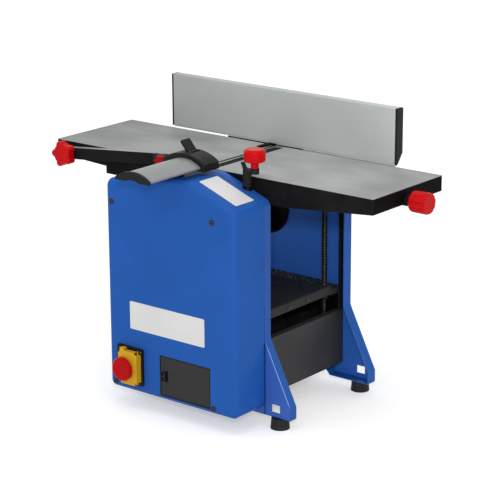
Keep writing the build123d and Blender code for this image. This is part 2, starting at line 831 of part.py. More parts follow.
with BuildPart() as infeed_ways:
    for low_y, high_y in block_ys:
        with BuildSketch(Plane.XZ.offset(-low_y)):
            with BuildLine():
                Polyline((way_x_in, way_bottom), (way_x_out, way_bottom), (way_x_out, way_face_out - slide_fit),
                         (way_x_in, way_face_in - slide_fit), close=True)
            make_face()
        extrude(amount=low_y - high_y)
    # Cross bar with a fork for the depth nut
    with Locations((bar_x, (bar_ends[0] + bar_ends[1]) / 2, bar_low)):
        Box(bar_width, bar_ends[1] - bar_ends[0], bar_height, align=(Align.CENTER, Align.CENTER, Align.MIN))
    for side in (-1, 1):
        with Locations((bar_x, nut_y + side * (nut_width / 2 + slide_fit + prong_width / 2), bar_low)):
            Box(bar_width, prong_width, nut_z + nut_height / 2 - bar_low,
                align=(Align.CENTER, Align.CENTER, Align.MIN))
    with Locations((guide_x, front_guide_y, way_bottom)):
        Cylinder(screw_r + run_fit, 4 * way_depth, mode=Mode.SUBTRACT)
    with Locations((guide_x, rear_guide_y, way_bottom)):
        Cylinder(screw_r + run_fit, way_depth, mode=Mode.SUBTRACT)
infeed_ways.part.label = "infeed_ways"
export_step(infeed_ways.part, "parts/infeed_ways.step")

outfeed_block_length = way_length - 6

with BuildPart() as outfeed_blocks:
    for low_y, high_y in block_ys:
        with Locations((-way_x_out, low_y, way_bottom)):
            Box(outfeed_block_length, high_y - low_y, outfeed_seat_z - way_bottom,
                align=(Align.MIN, Align.MIN, Align.MIN))
    with Locations(*[(-guide_x, y, way_bottom) for y in guide_ys]):
        Cylinder(column_r + seat_fit, 2 * (outfeed_seat_z - way_bottom - 4), mode=Mode.SUBTRACT)
outfeed_blocks.part.label = "outfeed_blocks"
export_step(outfeed_blocks.part, "parts/outfeed_blocks.step")

# Depth adjustment: floating nut in the fork, screw and knob
with BuildPart() as cross_nut:
    with Locations((bar_x, nut_y, nut_z)):
        Box(bar_width + 2 * slide_fit, nut_width, nut_height)
    for side in (-1, 1):
        with Locations((bar_x + side * (bar_width / 2 + slide_fit + nut_cheek / 2), nut_y, nut_z)):
            Box(nut_cheek, nut_width + 2 * nut_cheek_lap, nut_height)
    with Locations((bar_x, nut_y, nut_z)):
        Cylinder(depth_screw_r + run_fit, 4 * bar_width, rotation=(0, 90, 0), mode=Mode.SUBTRACT)
cross_nut.part.label = "cross_nut"
export_step(cross_nut.part, "parts/cross_nut.step")

depth_knob_x = table_half + depth_knob_gap

with BuildPart() as depth_screw:
    with Locations((bar_x - 14, nut_y, nut_z)):
        Cylinder(depth_screw_r, depth_knob_x - bar_x + 14, rotation=(0, 90, 0),
                 align=(Align.CENTER, Align.CENTER, Align.MIN))
depth_screw.part.label = "depth_screw"
export_step(depth_screw.part, "parts/depth_screw.step")

with BuildPart() as depth_knob:
    with BuildSketch(Plane(origin=(depth_knob_x, nut_y, nut_z), x_dir=(0, 1, 0), z_dir=(1, 0, 0))):
        RegularPolygon(depth_knob_r, depth_knob_flats, rotation=180 / depth_knob_flats)
    extrude(amount=depth_knob_length)
    chamfer(depth_knob.faces().sort_by(Axis.X)[0].edges(), depth_knob_bevel)
    fillet(depth_knob.edges().filter_by(Axis.X) + depth_knob.faces().sort_by(Axis.X)[-1].edges(), depth_knob_round)
depth_knob.part.label = "depth_knob"
export_step(depth_knob.part, "parts/depth_knob.step")

# Cutter block with its wedges and knives
cutter_front = near_y - cutter_clear + 6
cutter_rear = far_y + cutter_clear - 6
pulley_y = panel_out + pulley_gap

with BuildPart() as cutter_block:
    with BuildSketch(Plane.XZ.offset(-cutter_rear)):
        with Locations((0, cutter_z)):
            Circle(cutter_r)
    extrude(amount=cutter_rear - cutter_front)
    with BuildSketch(Plane.XZ.offset(-(panel_in - 2))):
        with Locations((0, cutter_z)):
            Circle(cutter_journal_r)
    extrude(amount=2 * panel_in - 4)
    with BuildSketch(Plane.XZ.offset(0)):
        with Locations((0, cutter_z)):
            Circle(cutter_nose_r)
    extrude(amount=pulley_y + pulley_width + 1)
    # A knife slot and the gullet above its wedge, twice, half a turn apart
    for turn in (1, -1):
        with Locations((turn * (seat_fit - knife_thickness / 2), (cutter_front + cutter_rear) / 2,
                        cutter_z + turn * (cutting_r - knife_height / 2))):
            Box(knife_thickness + 2 * seat_fit, cutter_rear - cutter_front, knife_height + 2 * seat_fit,
                mode=Mode.SUBTRACT)
        with Locations((turn * (wedge_thickness / 2 + 2 * seat_fit), (cutter_front + cutter_rear) / 2,
                        cutter_z + turn * (cutting_r - wedge_drop / 2))):
            Box(wedge_thickness, cutter_rear - cutter_front, wedge_drop, mode=Mode.SUBTRACT)
cutter_block.part.label = "cutter_block"
export_step(cutter_block.part, "parts/cutter_block.step")

with BuildPart() as planer_knives:
    for turn in (1, -1):
        knife_x = turn * (seat_fit - knife_thickness / 2)
        with BuildSketch(Plane.XZ.offset(-cutter_rear)):
            with Locations((knife_x, cutter_z + turn * (cutting_r - knife_height / 2))):
                Rectangle(knife_thickness, knife_height)
        extrude(amount=cutter_rear - cutter_front)
    # Ground bevel on the cutting edges
    for turn in (1, -1):
        edge = planer_knives.edges().filter_by(Axis.Y).sort_by(Axis.Z)
        chamfer(edge[-1] if turn > 0 else edge[0], knife_thickness * 0.6)
planer_knives.part.label = "planer_knives"
export_step(planer_knives.part, "parts/planer_knives.step")


def grooved_pulley(z, radius, bore_r):
    """A flanged pulley in front of the front panel."""
    with BuildPart() as pulley:
        with BuildSketch(Plane.XZ.offset(pulley_y)):
            with Locations((0, z)):
                Circle(radius)
        extrude(amount=pulley_width)
        with BuildSketch(Plane.XZ.offset(pulley_y + (pulley_width - belt_width) / 2 - slide_fit)):
            with Locations((0, z)):
                Circle(radius + 1)
                Circle(radius - groove_depth, mode=Mode.SUBTRACT)
        extrude(amount=belt_width + 2 * slide_fit, mode=Mode.SUBTRACT)
        with Locations((0, -pulley_y - pulley_width / 2, z)):
            Cylinder(bore_r + seat_fit, 2 * pulley_width, rotation=(90, 0, 0), mode=Mode.SUBTRACT)
    return pulley.part


with BuildPart() as cutter_pulley:
    add(grooved_pulley(cutter_z, cutter_pulley_r, cutter_nose_r))
cutter_pulley.part.label = "cutter_pulley"
export_step(cutter_pulley.part, "parts/cutter_pulley.step")

with BuildPart() as motor_pulley:
    add(grooved_pulley(motor_z, motor_pulley_r, motor_shaft_r))
motor_pulley.part.label = "motor_pulley"
export_step(motor_pulley.part, "parts/motor_pulley.step")

with BuildPart() as drive_belt:
    add(loop_band(Plane.XZ.offset(pulley_y + (pulley_width - belt_width) / 2), [(0, motor_z), (0, cutter_z)],
                  [motor_pulley_r - groove_depth, cutter_pulley_r - groove_depth],
                  belt_lift, belt_thickness, belt_width))
drive_belt.part.label = "drive_belt"
export_step(drive_belt.part, "parts/drive_belt.step")

# Motor on the shelf: finned housing, and rotor with its shaft
motor_front = panel_in - motor_front_gap
motor_length = motor_front + panel_in - gearbox_length - motor_gap
motor_rear = motor_front - motor_length

with BuildPart() as motor_housing:
    with BuildSketch(Plane.XZ.offset(motor_front)):
        with Locations((0, motor_z)):
            Circle(motor_r)
    extrude(amount=-motor_length)
    with BuildSketch(Plane.XZ.offset(motor_front - 3 * motor_wall)):
        with Locations((0, motor_z)):
            with PolarLocations(motor_r, motor_fins):
                Rectangle(2 * motor_fin, 2.4)
    extrude(amount=-(motor_length - 6 * motor_wall))
    # Feet down to the shelf
    for y in (motor_front - 3 * motor_wall, motor_rear + 3 * motor_wall):
        with Locations((0, -y, shelf_top)):
            Box(1.5 * motor_r, motor_wall, motor_z - shelf_top - motor_r / 2,
                align=(Align.CENTER, Align.CENTER, Align.MIN))
    with BuildSketch(Plane.XZ.offset(motor_front - motor_wall)):
        with Locations((0, motor_z)):
            Circle(motor_r - motor_wall)
    extrude(amount=-(motor_length - 2 * motor_wall), mode=Mode.SUBTRACT)
    with BuildSketch(Plane.XZ.offset(motor_front)):
        with Locations((0, motor_z)):
            Circle(motor_shaft_r + run_fit)
    extrude(amount=-motor_length, mode=Mode.SUBTRACT)
motor_housing.part.label = "motor_housing"
export_step(motor_housing.part, "parts/motor_housing.step")

with BuildPart() as motor_rotor:
    with BuildSketch(Plane.XZ.offset(pulley_y + pulley_width + 1)):
        with Locations((0, motor_z)):
            Circle(motor_shaft_r)
    extrude(amount=-(pulley_y + pulley_width + 1 - motor_rear))
    with BuildSketch(Plane.XZ.offset(motor_front - 3 * motor_wall)):
        with Locations((0, motor_z)):
            Circle(rotor_r)
    extrude(amount=-(motor_length - 6 * motor_wall))
motor_rotor.part.label = "motor_rotor"
export_step(motor_rotor.part, "parts/motor_rotor.step")

# Feed rollers with their sprockets, and the bearings of the rollers and the cutter
roller_front = near_y + 3
roller_rear = far_y - 3


def feed_roller(x, sprocket_ys):
    """A feed roller with journals to both panels and sprockets behind the rear panel."""
    with BuildPart() as roller:
        with BuildSketch(Plane.XZ.offset(-roller_rear)):
            with Locations((x, roller_z)):
                Circle(roller_r)
        extrude(amount=roller_rear - roller_front)
        with BuildSketch(Plane.XZ.offset(-roller_end_y)):
            with Locations((x, roller_z)):
                Circle(roller_journal_r)
        extrude(amount=roller_end_y + panel_in - 2)
        for y in sprocket_ys:
            with BuildSketch(Plane.XZ.offset(-y - sprocket_width)):
                with Locations((x, roller_z)):
                    Circle(feed_sprocket_r)
            extrude(amount=sprocket_width)
    return roller.part


with BuildPart() as infeed_roller:
    add(feed_roller(roller_x, (feed_y, link_y)))
infeed_roller.part.label = "infeed_roller"
export_step(infeed_roller.part, "parts/infeed_roller.step")

with BuildPart() as outfeed_roller:
    add(feed_roller(-roller_x, (link_y,)))
outfeed_roller.part.label = "outfeed_roller"
export_step(outfeed_roller.part, "parts/outfeed_roller.step")

with BuildPart() as bearing_blocks:
    for side in (1, -1):
        with BuildSketch(Plane.XZ.offset(side * panel_in)):
            with Locations((0, cutter_z)):
                Circle(bearing_r)
                Circle(cutter_journal_r + run_fit, mode=Mode.SUBTRACT)
        extrude(amount=-side * bearing_depth)
    for x in (-roller_x, roller_x):
        for side in (-1, 1):
            with Locations((x, side * (panel_in - roller_block_depth / 2), roller_z)):
                Box(roller_block, roller_block_depth, roller_block)
        with Locations((x, 0, roller_z)):
            Cylinder(roller_journal_r + run_fit, 3 * panel_in, rotation=(90, 0, 0), mode=Mode.SUBTRACT)
bearing_blocks.part.label = "bearing_blocks"
export_step(bearing_blocks.part, "parts/bearing_blocks.step")

# Feed gearbox behind the motor, its sprocket, the two feed chains and their cover
with BuildPart() as feed_gearbox:
    with Locations((gearbox_x, panel_in, shelf_top)):
        Box(gearbox_width, gearbox_length, motor_z + gearbox_height / 2 - shelf_top,
            align=(Align.CENTER, Align.MAX, Align.MIN))
    fillet(feed_gearbox.edges().filter_by(Axis.Z), 5)
    with Locations((roller_x, panel_in, motor_z)):
        Cylinder(roller_journal_r + run_fit, gearbox_length, rotation=(90, 0, 0), mode=Mode.SUBTRACT)
feed_gearbox.part.label = "feed_gearbox"
export_step(feed_gearbox.part, "parts/feed_gearbox.step")

with BuildPart() as feed_sprocket:
    with BuildSketch(Plane.XZ.offset(-feed_y - sprocket_width)):
        with Locations((roller_x, motor_z)):
            Circle(box_sprocket_r)
    extrude(amount=sprocket_width)
    with BuildSketch(Plane.XZ.offset(-feed_y - sprocket_width)):
        with Locations((roller_x, motor_z)):
            Circle(roller_journal_r)
    extrude(amount=sprocket_width + feed_plane + gearbox_length / 2)
feed_sprocket.part.label = "feed_sprocket"
export_step(feed_sprocket.part, "parts/feed_sprocket.step")

with BuildPart() as feed_chains:
    add(loop_band(Plane.XZ.offset(-feed_y - sprocket_width), [(roller_x, motor_z), (roller_x, roller_z)],
                  [box_sprocket_r, feed_sprocket_r], chain_lift, chain_thickness, sprocket_width))
    add(loop_band(Plane.XZ.offset(-link_y - sprocket_width), [(-roller_x, roller_z), (roller_x, roller_z)],
                  [feed_sprocket_r, feed_sprocket_r], chain_lift, chain_thickness, sprocket_width))
feed_chains.part.label = "feed_chains"
export_step(feed_chains.part, "parts/feed_chains.step")

chain_reach = feed_sprocket_r + chain_lift + chain_thickness + rear_cover_margin
rear_cover_points = [
    (roller_x - chain_reach, motor_z - chain_reach), (roller_x + chain_reach, motor_z - chain_reach),
    (roller_x + chain_reach, roller_z + chain_reach), (-roller_x - chain_reach, roller_z + chain_reach),
    (-roller_x - chain_reach, roller_z - chain_reach), (roller_x - chain_reach, roller_z - chain_reach),
]

with BuildPart() as rear_drive_cover:
    with BuildSketch(Plane.XZ.offset(-panel_out)):
        outline_face(rear_cover_points, [8, 8, 8, 8, 8, 8])
    extrude(amount=-rear_cover_depth)
    fillet(rear_drive_cover.faces().sort_by(Axis.Y)[-1].edges(), 3)
    offset(amount=-rear_cover_sheet, openings=rear_drive_cover.faces().sort_by(Axis.Y)[0])
rear_drive_cover.part.label = "rear_drive_cover"
export_step(rear_drive_cover.part, "parts/rear_drive_cover.step")

# Kickback pawls on their rod
with BuildPart() as pawl_rod:
    with Locations((pawl_x, 0, pawl_z)):
        Cylinder(pawl_rod_r, 2 * panel_in, rotation=(90, 0, 0))
pawl_rod.part.label = "pawl_rod"
export_step(pawl_rod.part, "parts/pawl_rod.step")

with BuildPart() as kickback_pawls:
    for index in range(pawl_count):
        pawl_y = -table_offset + (index - (pawl_count - 1) / 2) * pawl_pitch
        with BuildSketch(Plane.XZ.offset(-pawl_y - pawl_thickness / 2)):
            with Locations((pawl_x, pawl_z)):
                Circle(pawl_eye_r)
                with Locations((pawl_eye_r / 4, -pawl_length / 2)):
                    Rectangle(pawl_eye_r, pawl_length)
                Circle(pawl_rod_r + run_fit, mode=Mode.SUBTRACT)
        extrude(amount=pawl_thickness)
kickback_pawls.part.label = "kickback_pawls"
export_step(kickback_pawls.part, "parts/kickback_pawls.step")

# Thicknessing table with a lug at each guide
bed_near = -table_offset - bed_width / 2
bed_far = -table_offset + bed_width / 2
lug_top = bed_top - lug_top_drop
column_lug = rear_guide_y + column_r + lug_wall
lug_boxes = [
    (-guide_x - lug_length / 2, -guide_x + lug_length / 2, -panel_in + 1, bed_near),
    (-guide_x - lug_length / 2, -guide_x + lug_length / 2, bed_far, column_lug),
    (guide_x - lug_length / 2, bed_length / 2, -panel_in + 1, bed_near),
    (guide_x - lug_length / 2, bed_length / 2, bed_far, panel_in - 1),
]

with BuildPart() as thickness_table:
    with Locations((0, -table_offset, bed_top)):
        Box(bed_length, bed_width, bed_depth, align=(Align.CENTER, Align.CENTER, Align.MAX))
    fillet(thickness_table.edges().filter_by(Axis.Y).group_by(Axis.Z)[-1], 3)
    with Locations((0, -table_offset, bed_top - bed_plate)):
        Box(bed_length - 2 * bed_skirt, bed_width - 2 * bed_skirt, bed_depth,
            align=(Align.CENTER, Align.CENTER, Align.MAX), mode=Mode.SUBTRACT)
    for low_x, high_x, low_y, high_y in lug_boxes:
        with Locations((low_x, low_y, lug_top)):
            Box(high_x - low_x, high_y - low_y, lug_height, align=(Align.MIN, Align.MIN, Align.MAX))
    # Rail between the rear lugs
    rail_length = 2 * guide_x - lug_length
    rail_width = panel_in - port_ring - bed_rail_gap - bed_far
    with Locations((0, bed_far, bed_top - bed_rail_drop)):
        Box(rail_length, rail_width, lug_height, align=(Align.CENTER, Align.MIN, Align.MAX))
    # Lift nuts below the lugs on the screws
    with Locations(*[(guide_x, y, lug_top - lug_height) for y in guide_ys]):
        Cylinder(lift_nut_r, lift_nut_height, align=(Align.CENTER, Align.CENTER, Align.MAX))
    # Screw heads in the edges
    for end in (-1, 1):
        for y in (-edge_screw_y, edge_screw_y):
            with Locations((end * bed_length / 2, -table_offset + y, bed_top - bed_depth / 2 - 1)):
                Cylinder(edge_screw_r, 3, rotation=(0, end * 90, 0),
                         align=(Align.CENTER, Align.CENTER, Align.MIN))
    with Locations(*[(guide_x, y, lug_top) for y in guide_ys]):
        Cylinder(screw_r + run_fit, 6 * lug_height, mode=Mode.SUBTRACT)
    with Locations(*[(-guide_x, y, lug_top) for y in guide_ys]):
        Cylinder(column_r + run_fit, 4 * lug_height, mode=Mode.SUBTRACT)
thickness_table.part.label = "thickness_table"
export_step(thickness_table.part, "parts/thickness_table.step")


def lift_screw(y, top):
    """A lift screw in its bush, with a collar above the bush and the sprocket on the collar."""
    with BuildPart() as screw:
        with Locations((guide_x, y, shelf_z)):
            Cylinder(screw_r, top - shelf_z, align=(Align.CENTER, Align.CENTER, Align.MIN))
        with Locations((guide_x, y, lift_sprocket_z)):
            Cylinder(lift_sprocket_r, lift_sprocket_height, align=(Align.CENTER, Align.CENTER, Align.MIN))
        with Locations((guide_x, y, shelf_top + bush_height + slide_fit)):
            Cylinder(bush_r, collar_height, align=(Align.CENTER, Align.CENTER, Align.MIN))
    return screw.part


crank_base = body_top - facet_slope * (guide_x - facet_x) + crank_lift
crank_arm_z = table_top + crank_table_gap
screw_top = crank_arm_z - 2

with BuildPart() as front_lift_screw:
    add(lift_screw(front_guide_y, screw_top))
front_lift_screw.part.label = "front_lift_screw"
export_step(front_lift_screw.part, "parts/front_lift_screw.step")

with BuildPart() as rear_lift_screw:
    add(lift_screw(rear_guide_y, way_bottom + way_depth / 2 - 2))
rear_lift_screw.part.label = "rear_lift_screw"
export_step(rear_lift_screw.part, "parts/rear_lift_screw.step")

with BuildPart() as guide_columns:
    with Locations(*[(-guide_x, y, shelf_top) for y in guide_ys]):
        Cylinder(column_r, outfeed_seat_z - shelf_top - 5, align=(Align.CENTER, Align.CENTER, Align.MIN))
guide_columns.part.label = "guide_columns"
export_step(guide_columns.part, "parts/guide_columns.step")

with BuildPart() as lift_chain:
    add(loop_band(Plane.XY.offset(lift_sprocket_z + 1), [(guide_x, y) for y in guide_ys],
                  [lift_sprocket_r, lift_sprocket_r], chain_lift, chain_thickness, lift_sprocket_height - 2))
lift_chain.part.label = "lift_chain"
export_step(lift_chain.part, "parts/lift_chain.step")

# Height crank on the front lift screw, with its turning grip
grip_x = guide_x + crank_throw
collar_top = crank_arm_z + crank_arm_height + crank_collar_height

with BuildPart() as height_crank:
    with Locations((guide_x, front_guide_y, crank_base)):
        Cylinder(crank_hub_r, crank_arm_z + crank_arm_height - crank_base,
                 align=(Align.CENTER, Align.CENTER, Align.MIN))
    with Locations((guide_x, front_guide_y - crank_arm_width / 2, crank_arm_z)):
        Box(crank_throw, crank_arm_width, crank_arm_height, align=(Align.MIN, Align.MIN, Align.MIN))
    with Locations((grip_x, front_guide_y, crank_arm_z)):
        Cylinder(crank_collar_r, collar_top - crank_arm_z, align=(Align.CENTER, Align.CENTER, Align.MIN))
        Cylinder(crank_pin_r, collar_top - crank_arm_z + crank_pin_length,
                 align=(Align.CENTER, Align.CENTER, Align.MIN))
    # Horn on the other side of the hub
    with BuildSketch(Plane.XZ.offset(-front_guide_y + horn_width / 2)):
        with BuildLine():
            foot = (guide_x - crank_hub_r / 2, crank_arm_z)
            tip = (guide_x - horn_reach, crank_arm_z + horn_height)
            Spline(foot, (guide_x - 0.8 * horn_reach, crank_arm_z + 0.4 * horn_height),
                   (tip[0] - horn_width / 2, tip[1]))
            Line((tip[0] - horn_width / 2, tip[1]), (tip[0] + horn_width / 4, tip[1]))
            Spline((tip[0] + horn_width / 4, tip[1]),
                   (guide_x - 0.35 * horn_reach, crank_arm_z + 0.5 * horn_height),
                   (guide_x + crank_hub_r / 2, crank_arm_z + crank_arm_height))
            Line((guide_x + crank_hub_r / 2, crank_arm_z + crank_arm_height), foot)
        make_face()
    extrude(amount=-horn_width)
    with Locations((guide_x, front_guide_y, crank_base)):
        Cylinder(screw_r + seat_fit, 2 * (screw_top - crank_base + seat_fit), mode=Mode.SUBTRACT)
height_crank.part.label = "height_crank"
export_step(height_crank.part, "parts/height_crank.step")

with BuildPart() as crank_grip:
    with Locations((grip_x, front_guide_y, collar_top + slide_fit)):
        Cylinder(grip_neck_r, grip_neck, align=(Align.CENTER, Align.CENTER, Align.MIN))
    with Locations((grip_x, front_guide_y, collar_top + slide_fit + grip_neck)):
        Cylinder(grip_r, grip_height, align=(Align.CENTER, Align.CENTER, Align.MIN))
    fillet(crank_grip.faces().sort_by(Axis.Z)[-1].edges(), grip_round)
    fillet(crank_grip.edges().filter_by(GeomType.CIRCLE).sort_by(SortBy.RADIUS)[-1], 3)
    with Locations((grip_x, front_guide_y, collar_top)):
        Cylinder(crank_pin_r + run_fit, 2 * (crank_pin_length + 1), mode=Mode.SUBTRACT)
crank_grip.part.label = "crank_grip"
export_step(crank_grip.part, "parts/crank_grip.step")

# Fence: hollow profile with end caps, on a carrier hinged to a bracket on the rear panel
fence_front = far_y + fence_back_gap
fence_back = fence_front + fence_thickness
fence_low = table_top + fence_gap
fence_high = fence_low + fence_height
fence_start = fence_x - fence_length / 2
fence_points = [
    (fence_front, fence_low), (fence_back - fence_chamfer_depth, fence_low),
    (fence_back, fence_low + fence_chamfer_height), (fence_back, fence_high), (fence_front, fence_high),
]

with BuildPart() as fence_plate:
    with BuildSketch(Plane.YZ.offset(fence_start + fence_cap)):
        outline_face(fence_points, [0.8, 0.8, 2, 1.5, 0.8])
    extrude(amount=fence_length - 2 * fence_cap)
    # Hollow chambers between the walls
    chamber_low = fence_low + fence_chamfer_height + fence_wall
    chamber_height = (fence_high - fence_wall - chamber_low - fence_wall) / 2
    with BuildSketch(Plane.YZ.offset(fence_start + fence_cap)):
        for low in (chamber_low, chamber_low + chamber_height + fence_wall):
            with Locations(((fence_front + fence_back) / 2, low + chamber_height / 2)):
                Rectangle(fence_thickness - 2 * fence_wall, chamber_height)
    extrude(amount=fence_length, mode=Mode.SUBTRACT)
fence_plate.part.label = "fence_plate"
export_step(fence_plate.part, "parts/fence_plate.step")

with BuildPart() as fence_end_caps:
    for start in (fence_start, fence_start + fence_length - fence_cap):
        with BuildSketch(Plane.YZ.offset(start)):
            outline_face(fence_points, [0.8, 0.8, 2, 1.5, 0.8])
        extrude(amount=fence_cap)
fence_end_caps.part.label = "fence_end_caps"
export_step(fence_end_caps.part, "parts/fence_end_caps.step")

hinge_y = fence_back - hinge_inset
hinge_z = table_top + hinge_z_gap
hinge_low_x = hinge_x - hinge_width / 2
hinge_high_x = hinge_x + hinge_width / 2
carrier_low_x = hinge_low_x + ear_width + slide_fit
carrier_width = hinge_width - 2 * (ear_width + slide_fit)
carrier_foot = fence_low + fence_chamfer_height

with BuildPart() as fence_carrier:
    with BuildSketch(Plane.YZ.offset(carrier_low_x)):
        with BuildLine():
            Polyline((fence_back - fence_chamfer_depth / 2, carrier_foot - fence_chamfer_height / 2),
                     (fence_back, carrier_foot), (fence_back, carrier_foot + carrier_height),
                     (fence_back + carrier_plate, carrier_foot + carrier_height),
                     (fence_back + carrier_plate, carrier_foot - 4), (hinge_y + hinge_barrel_r, hinge_z),
                     (hinge_y, hinge_z), close=True)
        make_face()
        with Locations((hinge_y, hinge_z)):
            Circle(hinge_barrel_r)
            Circle(hinge_pin_r + run_fit, mode=Mode.SUBTRACT)
    extrude(amount=carrier_width)
fence_carrier.part.label = "fence_carrier"
export_step(fence_carrier.part, "parts/fence_carrier.step")

bracket_top = table_top - bracket_top_drop

with BuildPart() as fence_bracket:
    with Locations((hinge_x, panel_out, bracket_top)):
        Box(hinge_width, bracket_plate, bracket_height, align=(Align.CENTER, Align.MIN, Align.MAX))
    for low_x in (hinge_low_x, hinge_high_x - ear_width):
        with BuildSketch(Plane.YZ.offset(low_x)) as ear:
            with Locations((hinge_y, hinge_z)):
                Circle(ear_r)
            with Locations((panel_out + bracket_plate / 2, bracket_top - bracket_lap / 2)):
                Rectangle(bracket_plate, bracket_lap)
            make_hull()
        extrude(ear.sketch, amount=ear_width)
    with Locations((hinge_x, hinge_y, hinge_z)):
        Cylinder(hinge_pin_r + run_fit, 2 * hinge_width, rotation=(0, 90, 0), mode=Mode.SUBTRACT)
fence_bracket.part.label = "fence_bracket"
export_step(fence_bracket.part, "parts/fence_bracket.step")

# The clamp lever carries the hinge pin, with a head at its other end
with BuildPart() as fence_lever:
    with Locations((hinge_low_x - 4, hinge_y, hinge_z)):
        Cylinder(hinge_pin_r, hinge_width + 4 + fence_lever_hub, rotation=(0, 90, 0),
                 align=(Align.CENTER, Align.CENTER, Align.MIN))
        Cylinder(hinge_barrel_r, 4 - slide_fit, rotation=(0, 90, 0),
                 align=(Align.CENTER, Align.CENTER, Align.MIN))
    with Locations((hinge_high_x + slide_fit, hinge_y, hinge_z)):
        Cylinder(hinge_barrel_r, fence_lever_hub, rotation=(0, 90, 0),
                 align=(Align.CENTER, Align.CENTER, Align.MIN))
    lever_mid_x = hinge_high_x + slide_fit + fence_lever_hub / 2
    with BuildSketch(Plane.YZ.offset(lever_mid_x - fence_lever_width / 2)) as lever_arm:
        with Locations((hinge_y, hinge_z)):
            Circle(hinge_barrel_r - 1)
        with Locations((hinge_y + fence_lever_reach, hinge_z - fence_lever_drop)):
            Circle(fence_lever_width * 0.7)
        make_hull()
    extrude(lever_arm.sketch, amount=fence_lever_width)
    with Locations((lever_mid_x, hinge_y + fence_lever_reach, hinge_z - fence_lever_drop)):
        Sphere(fence_lever_ball_r)
fence_lever.part.label = "fence_lever"
export_step(fence_lever.part, "parts/fence_lever.step")

# Guard: arm on the outfeed table's side, saddle, sliding bar, cam lever and two knobs
arm_back = near_y - arm_table_gap
arm_front = arm_back - arm_thickness
arm_angle = degrees(atan2(arm_tip_z - arm_pivot_z, arm_tip_x - arm_pivot_x))
arm_length = hypot(arm_tip_z - arm_pivot_z, arm_tip_x - arm_pivot_x)
clamp_z = arm_pivot_z + (clamp_x - arm_pivot_x) * tan(radians(arm_angle))
saddle_back = near_y - arm_table_gap - saddle_setback
saddle_front = saddle_back - saddle_length
saddle_low_x = -bar_guard_width / 2 - saddle_left
saddle_high_x = bar_guard_width / 2 + saddle_right
saddle_mid_x = (saddle_low_x + saddle_high_x) / 2
bar_top = bar_guard_z + bar_guard_side + bar_guard_rise
bar_arc_r = ((bar_guard_width / 2) ** 2 + bar_guard_rise ** 2) / (2 * bar_guard_rise)


def bar_outline(grow):
    """Cross-section of the guard bar, a crown on upright sides, grown outwards by a gap."""
    with BuildSketch() as crown:
        with Locations((0, bar_top - bar_arc_r)):
            Circle(bar_arc_r + grow)
        with Locations((0, bar_guard_z - grow)):
            Rectangle(bar_guard_width + 2 * grow, 2 * bar_arc_r, align=(Align.CENTER, Align.MIN),
                      mode=Mode.INTERSECT)
    return crown.sketch


with BuildPart() as guard_arm:
    arm_plane = Plane(origin=(arm_pivot_x, arm_front, arm_pivot_z),
                      x_dir=(cos(radians(arm_angle)), 0, sin(radians(arm_angle))), z_dir=(0, -1, 0))
    with BuildSketch(arm_plane):
        with Locations((arm_length / 2, 0)):
            SlotCenterToCenter(arm_length, arm_height)
    extrude(amount=-arm_thickness)
    with Locations((arm_pivot_x, arm_back, arm_pivot_z)):
        Cylinder(arm_height / 2 - 2, arm_table_gap - slide_fit, rotation=(90, 0, 0),
                 align=(Align.CENTER, Align.CENTER, Align.MAX))
    with Locations((arm_pivot_x, arm_back, arm_pivot_z)):
        Cylinder(pivot_stud_r + run_fit, 4 * arm_thickness, rotation=(90, 0, 0), mode=Mode.SUBTRACT)
    with Locations((clamp_x, arm_back, clamp_z)):
        Cylinder(clamp_stud_r + run_fit, 4 * arm_thickness, rotation=(90, 0, 0), mode=Mode.SUBTRACT)
    # Room for the saddle at the tip
    with Locations((saddle_low_x - slide_fit, arm_front, arm_tip_z)):
        Box(saddle_high_x - saddle_low_x, 4 * arm_thickness, 4 * arm_height,
            align=(Align.MIN, Align.CENTER, Align.CENTER), mode=Mode.SUBTRACT)
guard_arm.part.label = "guard_arm"
export_step(guard_arm.part, "parts/guard_arm.step")

saddle_low = bar_guard_z - saddle_wall
saddle_high = bar_top + saddle_top
shoulder_z = bar_guard_z + saddle_shoulder
lever_y = saddle_back - lever_setback
lever_pin_z = saddle_high - lever_sink

with BuildPart() as guard_saddle:
    with BuildSketch(Plane.XZ.offset(-saddle_back)):
        with BuildLine():
            Polyline((saddle_high_x, shoulder_z), (saddle_high_x, saddle_low), (saddle_low_x, saddle_low),
                     (saddle_low_x, shoulder_z))
            ThreePointArc((saddle_low_x, shoulder_z), (saddle_mid_x, saddle_high), (saddle_high_x, shoulder_z))
        make_face()
    extrude(amount=saddle_length)
    fillet(guard_saddle.faces().sort_by(Axis.Y)[0].edges(), 2.5)
    with BuildSketch(Plane.XZ.offset(-saddle_back)):
        add(bar_outline(slide_fit + 0.1))
    extrude(amount=saddle_length, mode=Mode.SUBTRACT)
    # Tongue in front of the arm, for the clamp knob
    with Locations((saddle_low_x + saddle_left / 2, arm_front, clamp_z)):
        Box(tongue_length, tongue_thickness, tongue_height, align=(Align.MAX, Align.MAX, Align.CENTER))
    with Locations((clamp_x, arm_front, clamp_z)):
        Cylinder(clamp_stud_r + run_fit, 4 * tongue_thickness, rotation=(90, 0, 0), mode=Mode.SUBTRACT)
    # Slot of the cam lever in the crown, with the holes of its pin
    with Locations((lever_x - lever_room_left, lever_y, bar_top)):
        Box(lever_room_left + lever_room_right, lever_width + 2 * lever_ear_gap, 2 * saddle_top,
            align=(Align.MIN, Align.CENTER, Align.MIN), mode=Mode.SUBTRACT)
    with Locations((lever_x, lever_y, lever_pin_z)):
        Cylinder(lever_pin_r + run_fit, lever_width + 2 * (lever_ear_gap + lever_ear), rotation=(90, 0, 0),
                 mode=Mode.SUBTRACT)
guard_saddle.part.label = "guard_saddle"
export_step(guard_saddle.part, "parts/guard_saddle.step")

